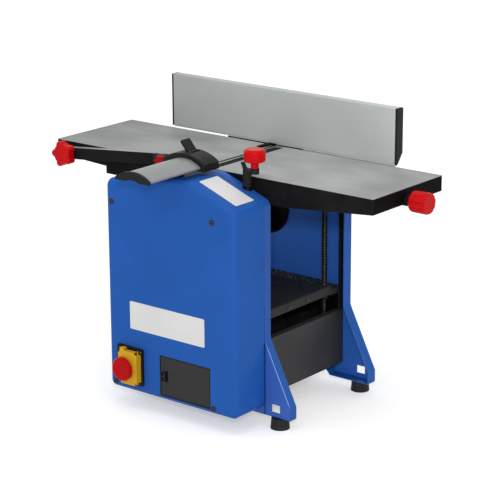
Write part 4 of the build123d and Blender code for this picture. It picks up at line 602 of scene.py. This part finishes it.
rubber("belt_rubber", (0.008, 0.008, 0.008), 0.6)

# Nodes with a finish of their own; the others have their slot's
node_finish = {
    "end_aprons": "apron_paint",
    "guard_arm": "arm_paint",
    "guard_bar": "bar_aluminium",
    "dust_port": "port_black",
    "front_side_panel": "panel_paint",
    "rear_side_panel": "rear_panel_paint",
    "crank_grip": "grip_red",
    "guard_pivot_knob": "grip_red",
    "cutter_block": "cutter_steel",
    "thickness_table": "bed_paint",
}
for part in frame["record"]["subparts"]:
    shown = frame["nodes"][part["node"]]
    shown.data.materials.clear()
    shown.data.materials.append(finishes[node_finish.get(part["node"], part["material_slot"])])


def add_piece(name, shape, body, slot, smooth_angle=40, finish=None):
    """A mesh piece from a bmesh in the row frame, on a body, with its slot's finish or one of its own."""
    mesh = bpy.data.meshes.new(name)
    bmesh.ops.recalc_face_normals(shape, faces=shape.faces)
    shape.to_mesh(mesh)
    shape.free()
    mesh.materials.append(finishes[finish or slot])
    mesh.shade_smooth()
    mesh.set_sharp_from_angle(angle=radians(smooth_angle))
    piece = bpy.data.objects.new(name, mesh)
    bpy.context.scene.collection.objects.link(piece)
    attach(piece, body)
    return piece


def frame_of(place, axis, turn=0.0):
    """A place and turn that put local +Z along an axis."""
    tilt = Vector((0, 0, 1)).rotation_difference(Vector(axis)).to_matrix().to_4x4()
    return Matrix.Translation(place) @ tilt @ Matrix.Rotation(turn, 4, "Z")


def ring(shape, move, points, height):
    """New corners at flat points, at a height in a frame."""
    return [shape.verts.new(move @ Vector((x, y, height))) for x, y in points]


def circle(radius, steps):
    """Points round a circle."""
    return [(radius * cos(2 * pi * i / steps), radius * sin(2 * pi * i / steps)) for i in range(steps)]


def bridge(shape, rings):
    """Walls between rings of equally many corners, and a cap on both ends."""
    for low, high in zip(rings, rings[1:]):
        for i in range(len(low)):
            j = (i + 1) % len(low)
            shape.faces.new((low[i], low[j], high[j], high[i]))
    shape.faces.new(list(reversed(rings[0])))
    shape.faces.new(rings[-1])


def lathe(shape, profile, place, axis=(0, 0, 1), steps=32):
    """A turned form; profile is (radius, height) from one end to the other."""
    move = frame_of(place, axis)
    rings = []
    for radius, height in profile:
        points = [(0, 0)] if radius < 1e-7 else circle(radius, steps)
        rings.append(ring(shape, move, points, height))
    for low, high in zip(rings, rings[1:]):
        for i in range(steps):
            j = (i + 1) % steps
            corners = [low[i % len(low)], low[j % len(low)], high[j % len(high)], high[i % len(high)]]
            shape.faces.new(list(dict.fromkeys(corners)))


def rod(shape, radius, length, place, axis, steps=24):
    """A plain round rod."""
    lathe(shape, [(0, 0), (radius, 0), (radius, length), (0, length)], place, axis, steps)


def slab(shape, outline, low, high, axis, rounding=0.0):
    """An outline pulled along X, Y or Z, with rounded edges; its points are on the other two axes."""
    ways = {
        "X": lambda a, b, c: (c, a, b),
        "Y": lambda a, b, c: (a, c, b),
        "Z": lambda a, b, c: (a, b, c),
    }
    ends = [[shape.verts.new(ways[axis](a, b, c)) for a, b in outline] for c in (low, high)]
    made = [shape.faces.new(list(reversed(ends[0]))), shape.faces.new(ends[1])]
    for i in range(len(outline)):
        j = (i + 1) % len(outline)
        made.append(shape.faces.new((ends[0][i], ends[0][j], ends[1][j], ends[1][i])))
    if rounding:
        edges = list(dict.fromkeys(edge for face in made for edge in face.edges))
        bmesh.ops.bevel(shape, geom=edges, offset=rounding, segments=2, profile=0.5, affect="EDGES")


def oblong(low_a, high_a, low_b, high_b):
    """The outline of a rectangle, for slab."""
    return [(low_a, low_b), (high_a, low_b), (high_a, high_b), (low_a, high_b)]


def moved(outline, a, b):
    """An outline shifted along its two axes."""
    return [(x + a, y + b) for x, y in outline]


def washer_ring(shape, inner, outer, thickness, chamfer, place, axis):
    """A flat washer with its upper edge broken; chamfer is that edge's share of the radius, and its drop."""
    narrow, drop = chamfer
    profile = [(inner, 0), (outer, 0), (outer, thickness - drop), (outer * narrow, thickness),
               (inner, thickness)]
    lathe(shape, profile, place, axis, 24)


def socket_screw(shape, radius, height, place, axis, turn=0.0, washer=0.0):
    """A button head with a hexagon socket, on a washer if that has a radius."""
    base = 0.0
    if washer > 0:
        base = 0.001
        washer_ring(shape, radius * 0.5, washer, base, (0.97, 0.0002), place, axis)
    move = frame_of(place, axis, turn)
    steps = 24
    head = ((1.0, 0.0), (1.0, 0.35), (0.9, 0.75), (0.72, 1.0))
    rings = [ring(shape, move, circle(radius * r, steps), base + height * z) for r, z in head]
    socket = []
    for i in range(steps):
        angle = 2 * pi * i / steps
        side = (angle % (pi / 3)) - pi / 6
        r = radius * 0.42 * cos(pi / 6) / cos(side)
        socket.append((r * cos(angle), r * sin(angle)))
    rings += [ring(shape, move, socket, base + height * z) for z in (1.0, 0.4)]
    bridge(shape, rings)


def hex_screw(shape, across, height, place, axis, turn=0.0, washer=0.0):
    """A hexagon head with a rounded top, on a washer if that has a radius."""
    base = 0.0
    if washer > 0:
        base = 0.0013
        washer_ring(shape, across * 0.3, washer, base, (0.96, 0.0003), place, axis)
    move = frame_of(place, axis, turn)
    corner = across / 2 / cos(pi / 6)
    head = ((1.0, 0.0), (1.0, 0.8), (0.88, 1.0))
    bridge(shape, [ring(shape, move, circle(corner * r, 6), base + height * z) for r, z in head])


def cross_screw(shape, radius, height, place, axis, turn=0.0):
    """A pan head with a cross recess."""
    move = frame_of(place, axis, turn)
    arm = radius * 0.62
    half = radius * 0.14
    cross = [(arm, -half), (arm, half), (half, half), (half, arm), (-half, arm), (-half, half),
             (-arm, half), (-arm, -half), (-half, -half), (-half, -arm), (half, -arm), (half, -half)]
    angles = [Vector(point).to_2d().angle_signed(Vector((1, 0))) for point in cross]
    rings = []
    for r, z in ((1.0, 0.0), (1.0, 0.45), (0.93, 0.78), (0.74, 1.0)):
        points = [(radius * r * cos(angle), radius * r * sin(angle)) for angle in angles]
        rings.append(ring(shape, move, points, height * z))
    for size, z in ((1.0, 1.0), (0.8, 0.35)):
        rings.append(ring(shape, move, [(x * size, y * size) for x, y in cross], height * z))
    bridge(shape, rings)


def thread(shape, place, axis, length, pitch, crest, root, steps=20):
    """A threaded rod: a helical ridge between its crest and root radius, with plain ends."""
    move = frame_of(place, axis)
    rows = int(round(length / pitch * 4)) + 1
    waves = (root, (root + crest) / 2 + (crest - root) * 0.3, crest, (root + crest) / 2)
    rings = []
    for row in range(rows):
        points = []
        for i in range(steps):
            level = (row / 4 - i / steps) % 1.0 * 4
            low = int(level) % 4
            r = waves[low] + (waves[(low + 1) % 4] - waves[low]) * (level - int(level))
            if row in (0, rows - 1):
                r = root
            angle = 2 * pi * i / steps
            points.append((r * cos(angle), r * sin(angle)))
        rings.append(ring(shape, move, points, length * row / (rows - 1)))
    bridge(shape, rings)


def lift_screw(name, body, finish):
    """A threaded lift screw, with a collar on the shelf and a toothed sprocket at the lift chain."""
    low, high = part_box(body)
    mid = centre(body)
    chain_low, chain_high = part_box("lift_chain")
    sprocket_low, sprocket_top = chain_low.z - SPROCKET_EDGE, chain_high.z + SPROCKET_EDGE
    shape = bmesh.new()
    rod(shape, LIFT_CREST, sprocket_top - low.z, (mid.x, mid.y, low.z), (0, 0, 1))
    start = (mid.x, mid.y, sprocket_top)
    thread(shape, start, (0, 0, 1), high.z - sprocket_top, LIFT_PITCH, LIFT_CREST, LIFT_ROOT)

    collar_low, collar_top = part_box("base_shelf")[1].z + 0.0003, sprocket_low - 0.0002
    collar = [(COLLAR_BORE, collar_low), (COLLAR_RADIUS - COLLAR_CHAMFER, collar_low),
              (COLLAR_RADIUS, collar_low + COLLAR_CHAMFER), (COLLAR_RADIUS, collar_top),
              (COLLAR_BORE, collar_top)]
    lathe(shape, collar, (mid.x, mid.y, 0), steps=24)

    count = SPROCKET_TEETH * len(TOOTH_RADII)
    teeth = []
    for i in range(count):
        angle = 2 * pi * i / count
        r = TOOTH_RADII[i % len(TOOTH_RADII)]
        teeth.append((r * cos(angle), r * sin(angle)))
    move = Matrix.Translation((mid.x, mid.y, 0))
    bridge(shape, [ring(shape, move, teeth, z) for z in (sprocket_low, sprocket_top)])
    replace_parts(add_piece(name, shape, body, "dark_steel", 50, finish), body)


def depth_screw():
    """The screw of the depth control: threaded at its inner end, plain towards the grip."""
    low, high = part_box("depth_screw")
    mid = centre("depth_screw")
    shape = bmesh.new()
    thread(shape, (low.x, mid.y, mid.z), (1, 0, 0), DEPTH_THREAD, DEPTH_PITCH, DEPTH_CREST, DEPTH_ROOT, 16)
    rod(shape, DEPTH_CREST, high.x - low.x - DEPTH_THREAD, (low.x + DEPTH_THREAD, mid.y, mid.z), (1, 0, 0))
    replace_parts(add_piece("depth_screw_thread", shape, "depth_control", "steel"), "depth_screw")


def cover_screws():
    """Pan heads of the four cover screws, with washers and stems."""
    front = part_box("front_cover")[0].y
    mid = centre("cover_screws")
    half_x, half_z = 0.118, 0.17275
    spots = [(mid.x + a * half_x, mid.z + b * half_z) for a in (-1, 1) for b in (-1, 1)]
    washer = [(0.0015, 0), (0.0055, 0), (0.0055, 0.0006), (0.0051, 0.0009), (0.0015, 0.0009)]
    stem = [(0, 0), (0.002, 0), (0.002, 0.013), (0, 0.0135)]
    shape = bmesh.new()
    for spot, (x, z) in enumerate(spots):
        cross_screw(shape, 0.0040, 0.0028, (x, front - 0.0007, z), (0, -1, 0), turn=0.4 + 0.5 * spot)
        lathe(shape, washer, (x, front, z), (0, -1, 0), 24)
        lathe(shape, stem, (x, front, z), (0, 1, 0), 16)
    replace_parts(add_piece("cover_screw_heads", shape, "frame", "dark_steel"), "cover_screws")


def bed_screws():
    """Bright screws in the infeed and outfeed edges of the thicknessing table."""
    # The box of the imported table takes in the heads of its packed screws
    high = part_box("thickness_table")[1]
    packed_head = 0.003
    edge, height = high.x - packed_head, high.z - 0.0095
    shape = bmesh.new()
    for end in (-1, 1):
        for y in (-0.033, 0.021):
            socket_screw(shape, 0.0027, 0.0032, (end * edge, y, height), (end, 0, 0))
    add_piece("bed_edge_screws", shape, "thickness_table", "dark_steel", finish="cast_metal")


def rear_fasteners():
    """Bolts and screws on the outside of the rear panel, its drive cover and the fence bracket."""
    back = (0, 1, 0)
    apron_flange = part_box("end_aprons")[1].x - 0.0095
    shape = bmesh.new()
    for x in (-apron_flange, apron_flange):
        for z in (0.062, 0.132):
            socket_screw(shape, 0.005, 0.003, (x, PANEL_OUT, z), back, turn=0.3, washer=0.0065)
    block_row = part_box("outfeed_blocks")[0].z + 0.007
    for x in (-0.128, -0.102, 0.098, 0.128):
        socket_screw(shape, 0.005, 0.003, (x, PANEL_OUT, block_row), back, turn=0.1, washer=0.0065)
    add_piece("rear_panel_bolts", shape, "frame", "dark_steel")

    cover_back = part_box("rear_drive_cover")[1].y
    shape = bmesh.new()
    for x, z in ((0.022, 0.08), (0.070, 0.08), (0.070, 0.26), (0.022, 0.26),
                 (0.070, 0.438), (-0.070, 0.438), (-0.070, 0.390)):
        cross_screw(shape, 0.0042, 0.0022, (x, cover_back, z), back, turn=0.2)
    add_piece("rear_cover_screws", shape, "frame", "dark_steel")

    bracket_low, bracket_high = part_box("fence_bracket")
    bracket_x = centre("fence_bracket").x
    shape = bmesh.new()
    for x in (bracket_x - 0.010, bracket_x + 0.010):
        for z in (bracket_low.z + 0.010, bracket_low.z + 0.037):
            hex_screw(shape, 0.008, 0.004, (x, bracket_high.y, z), back, turn=0.2, washer=0.006)
    add_piece("fence_bracket_bolts", shape, "frame", "steel")


def fence_trim():
    """A foot strip that carries the fence face down past the table edge, a thin black strip which is painted
    shadow under the fence, and the cap's foot.
    The outlines start from the lower front edge of the fence."""
    low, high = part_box("fence_plate")
    cap_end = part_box("fence_end_caps")[1].x
    deep_from, shadow_strip_to = -0.1235, 0.0580
    near, far, top = 0.0003, 0.0029, -0.0001

    strip = [(near, -0.0045), (0.0023, -0.0045), (far, -0.0038), (far, top), (near, top), (0, -0.0025)]
    shallow = oblong(near, far, -0.0012, top)
    shape = bmesh.new()
    slab(shape, moved(strip, low.y, low.z), deep_from, high.x - 0.0002, "X", 0.0003)
    slab(shape, moved(shallow, low.y, low.z), low.x, deep_from - 0.0003, "X", 0.0003)
    add_piece("fence_wiper", shape, "fence", "brushed_aluminium")

    # A thin black strip in front of the wiper: painted shadow along the gap under the fence
    shadow_strip = [(-0.0005, -0.0038), (-0.0001, -0.0038), (-0.0001, -0.0018), (-0.0005, -0.0022)]
    shape = bmesh.new()
    slab(shape, moved(shadow_strip, low.y, low.z), deep_from + 0.0005, shadow_strip_to, "X")
    add_piece("fence_shadow_strip", shape, "fence", "black_plastic", finish="port_black")

    foot = [(near, -0.0024), (0.0019, -0.0024), (0.0039, top), (near, top)]
    shape = bmesh.new()
    slab(shape, moved(foot, low.y, low.z), high.x, cap_end - 0.0001, "X", 0.0004)
    add_piece("fence_cap_foot", shape, "fence", "black_plastic")


def throat_trim():
    """A black shoe over the end of the cutter and a black plate behind it, partly parts and partly painted
    shadow of the fence, the end plate beside them, and the outfeed table's thin lip.
    """
    low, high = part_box("outfeed_table")
    far, top = high.y, high.z
    plate_low, plate_top = top - 0.0080, top - 0.0002

    # The shoe's second coordinate starts from the far edge of the tables
    shoe_and_shadow = [(-0.0215, -0.0350), (-0.0130, -0.0350), (-0.0090, -0.0110), (-0.0050, 0.0035),
            (-0.0240, 0.0035), (-0.0235, -0.0330)]
    # The black shoe and plate: partly parts, partly painted shadow of the fence at the throat's far end
    shape = bmesh.new()
    slab(shape, moved(shoe_and_shadow, 0, far), top + 0.0003, top + 0.0026, "Z", 0.0006)
    slab(shape, oblong(-0.046, 0.056, far + 0.0012, far + 0.0030), plate_low, plate_top, "Z", 0.0003)
    add_piece("throat_shoe_and_shadow", shape, "frame", "black_plastic", finish="port_black")

    shape = bmesh.new()
    slab(shape, oblong(-0.0035, 0.0195, far - 0.0014, far + 0.0010), plate_low, plate_top, "Z", 0.0004)
    add_piece("throat_end_plate", shape, "frame", "cast_metal", finish="bar_aluminium")

    lip_from, lip_to = low.y + 0.0005, far - 0.0030
    shape = bmesh.new()
    slab(shape, oblong(lip_from, lip_to, top - 0.0038, top), high.x + 0.0001, high.x + 0.0016, "X")
    slab(shape, oblong(lip_from, lip_to, top - 0.0012, top), high.x + 0.0014, high.x + 0.0110, "X")
    add_piece("outfeed_lip", shape, "frame", "machined_table")


def depth_grip():
    """The ribbed grip of the depth control."""
    inner_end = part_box("depth_knob")[0].x
    mid = centre("depth_knob")
    rib = ((-18, 0.0179), (-14, 0.0181), (-11, 0.0192), (11, 0.0192), (14, 0.0181))
    shape = bmesh.new()
    rings = []
    for x, scale in ((0, 0.80), (0.0035, 0.985), (0.030, 1.0), (0.0345, 0.985), (0.036, 0.94)):
        corners = []
        for spot in range(DEPTH_RIBS):
            for angle, r in rib:
                turn = radians(angle + 360 / DEPTH_RIBS * spot + 9)
                y, z = mid.y + scale * r * cos(turn), mid.z + scale * r * sin(turn)
                corners.append(shape.verts.new((inner_end + x, y, z)))
        rings.append(corners)
    bridge(shape, rings)
    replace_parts(add_piece("depth_grip", shape, "depth_control", "red_plastic", 30, "grip_red"), "depth_knob")


def rear_dark_sheet():
    """A very dark sheet inside the rear panel, round the gearbox."""
    box_low, box_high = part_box("feed_gearbox")
    start, end, corner = -0.126, 0.128, 0.006
    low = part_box("base_shelf")[1].z + 0.001
    top = low + 0.122
    left_edge, right_edge = box_low.x - 0.0020, box_high.x + 0.0005
    left = [(start, low), (left_edge, low), (left_edge, top), (start + corner, top), (start, top - corner)]
    above = oblong(box_low.x - 0.0018, box_high.x + 0.0003, box_high.z + 0.0005, top)
    right = [(right_edge, low), (end, low), (end, top - corner), (end - corner, top), (right_edge, top)]
    front, back = PANEL_IN - 0.0021, PANEL_IN - 0.0003
    shape = bmesh.new()
    for outline in (left, above, right):
        slab(shape, outline, front, back, "Y", 0.0004)
    fill_top = box_high.z + 0.0004
    slab(shape, oblong(box_high.x - 0.0007, box_high.x + 0.0004, low, fill_top), front, back, "Y")
    behind = oblong(box_high.x - 0.0023, box_high.x - 0.0008, low, fill_top)
    slab(shape, behind, PANEL_IN - 0.0006, PANEL_IN - 0.0002, "Y")
    add_piece("rear_dark_sheet", shape, "frame", "black_plastic", finish="port_black")


def door_catch():
    """The painted shade of the storage door's finger recess, as a flat black patch, and the tongue of its
    catch.
    The outlines start from the middle of the door's left edge."""
    left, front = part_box("storage_door")[0].xy
    height = centre("storage_door").z

    # A flat black patch on the door: painted shade in the finger recess
    recess_shade = [(0.0014, -0.0102), (0.0164, -0.0102), (0.0164, 0.0106), (0.0090, 0.0106), (0.0014, 0.0066)]
    shape = bmesh.new()
    slab(shape, moved(recess_shade, left, height), front - 0.0004, front + 0.0002, "Y", 0.0001)
    add_piece("catch_recess_shade", shape, "storage_door", "black_plastic", finish="port_black")

    tongue = [(0.0074, -0.0082), (0.0098, -0.0082), (0.0088, 0.0088), (0.0064, 0.0088)]
    bar = oblong(0.0008, 0.0074, -0.0022, -0.0002)
    shape = bmesh.new()
    slab(shape, moved(tongue, left, height), front - 0.0010, front - 0.0002, "Y", 0.0003)
    slab(shape, moved(bar, left, height), front - 0.0008, front - 0.0002, "Y", 0.0002)
    add_piece("catch_tongue", shape, "storage_door", "grey_plastic")


def switch_flap():
    """The flap of the switch: a ribbed front with a lug and cut corners, round the stop button's stem.
    Places in X and Z start from the middle of the button."""
    button = centre("stop_button")
    flap_low, flap_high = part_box("switch_flap")
    front, back = flap_low.y, flap_high.y
    stem, wall, notch = 0.0063, 0.0025, 0.0060
    left, right, low, top = -0.0155, 0.0295, -0.0305, 0.0335
    left_top, right_top, ear_top = 0.0280, 0.0290, 0.0365
    lug_left, lug_right, lug_top = -0.0105, -0.0025, 0.0375
    step = low + notch
    inside, skin = front + wall - 0.0001, front + 0.0002
    shape = bmesh.new()

    def arc(start, end):
        turns = [radians(a) for a in range(start, end, -15)]
        return [(stem * cos(a), stem * sin(a)) for a in turns]

    def plate(outline, low_y, high_y):
        slab(shape, moved(outline, button.x, button.z), low_y, high_y, "Y")

    def block(low_x, high_x, low_z, high_z, low_y=inside, high_y=back):
        plate(oblong(low_x, high_x, low_z, high_z), low_y, high_y)

    left_half = [(0, top), (-0.0010, top), (lug_right, lug_top), (lug_left, lug_top), (-0.0115, 0.0295),
                 (left, left_top), (left, step), (left + notch, step), (left + notch, low), (0, low)]
    right_half = [(0, low), (right - notch, low), (right - notch, step), (right, step), (right, right_top),
                  (0.0240, 0.0300), (0.0220, top), (0, top)]
    plate(left_half + arc(270, 89), front, front + wall)
    plate(right_half + arc(90, -91), front, front + wall)

    # Walls at both sides, below and round the cut corners
    block(left, left + wall, step, left_top)
    block(right - wall, right, step, right_top)
    block(left + notch, right - notch, low, low + wall)
    block(left + wall, left + notch + wall, step, step + wall)
    block(left + notch, left + notch + wall, low + wall, step)
    block(right - notch - wall, right - wall, step, step + wall)
    block(right - notch - wall, right - notch, low + wall, step)

    # Lug, upper wall, and ears for the hinge pins
    block(lug_left, lug_right, top, lug_top, high_y=back - 0.0020)
    block(-0.0005, 0.0218, top - wall, top, high_y=back - 0.0030)
    block(left, left + wall, left_top, ear_top, front + 0.0052, front + 0.0104)
    block(right - wall, right, right_top, ear_top, front + 0.0052, front + 0.0104)

    # Ribs on the front
    block(0.0202, 0.0222, -0.0210, right_top, front - 0.0007, skin)
    block(-0.0065, 0.0205, -0.0285, -0.0255, front - 0.0012, skin)
    for x in (left - 0.0040, right - 0.0030):
        rod(shape, 0.0015, 0.007, (button.x + x, front + 0.0080, button.z + 0.0345), (1, 0, 0), 16)
    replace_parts(add_piece("flap_shell", shape, "switch_flap", "yellow_plastic"), "switch_flap")


def apron_strips():
    """Upright strips above the aprons, with their bolts."""
    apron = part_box("end_aprons")[1]
    inner, outer = apron.x - 0.0022, apron.x - 0.0002
    front, back = PANEL_IN - 0.0140, PANEL_IN - 0.0002
    low, top = apron.z + 0.0002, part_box("infeed_ways")[0].z - 0.0020
    shape = bmesh.new()
    bolts = bmesh.new()
    for end in (-1, 1):
        slab(shape, oblong(end * inner, end * outer, front, back), low, top, "Z", 0.0004)
        for z in (0.239, 0.307):
            place = (end * outer, PANEL_IN - 0.0045, z)
            hex_screw(bolts, 0.007, 0.003, place, (end, 0, 0), turn=0.3, washer=0.005)
    add_piece("apron_strips", shape, "frame", "black_paint")
    add_piece("apron_strip_bolts", bolts, "frame", "dark_steel")


lift_screw("front_screw_thread", "front_lift_screw", "front_thread")
lift_screw("rear_screw_thread", "rear_lift_screw", "rear_thread")
depth_screw()
cover_screws()
bed_screws()
rear_fasteners()
fence_trim()
throat_trim()
depth_grip()
rear_dark_sheet()
door_catch()
switch_flap()
apron_strips()
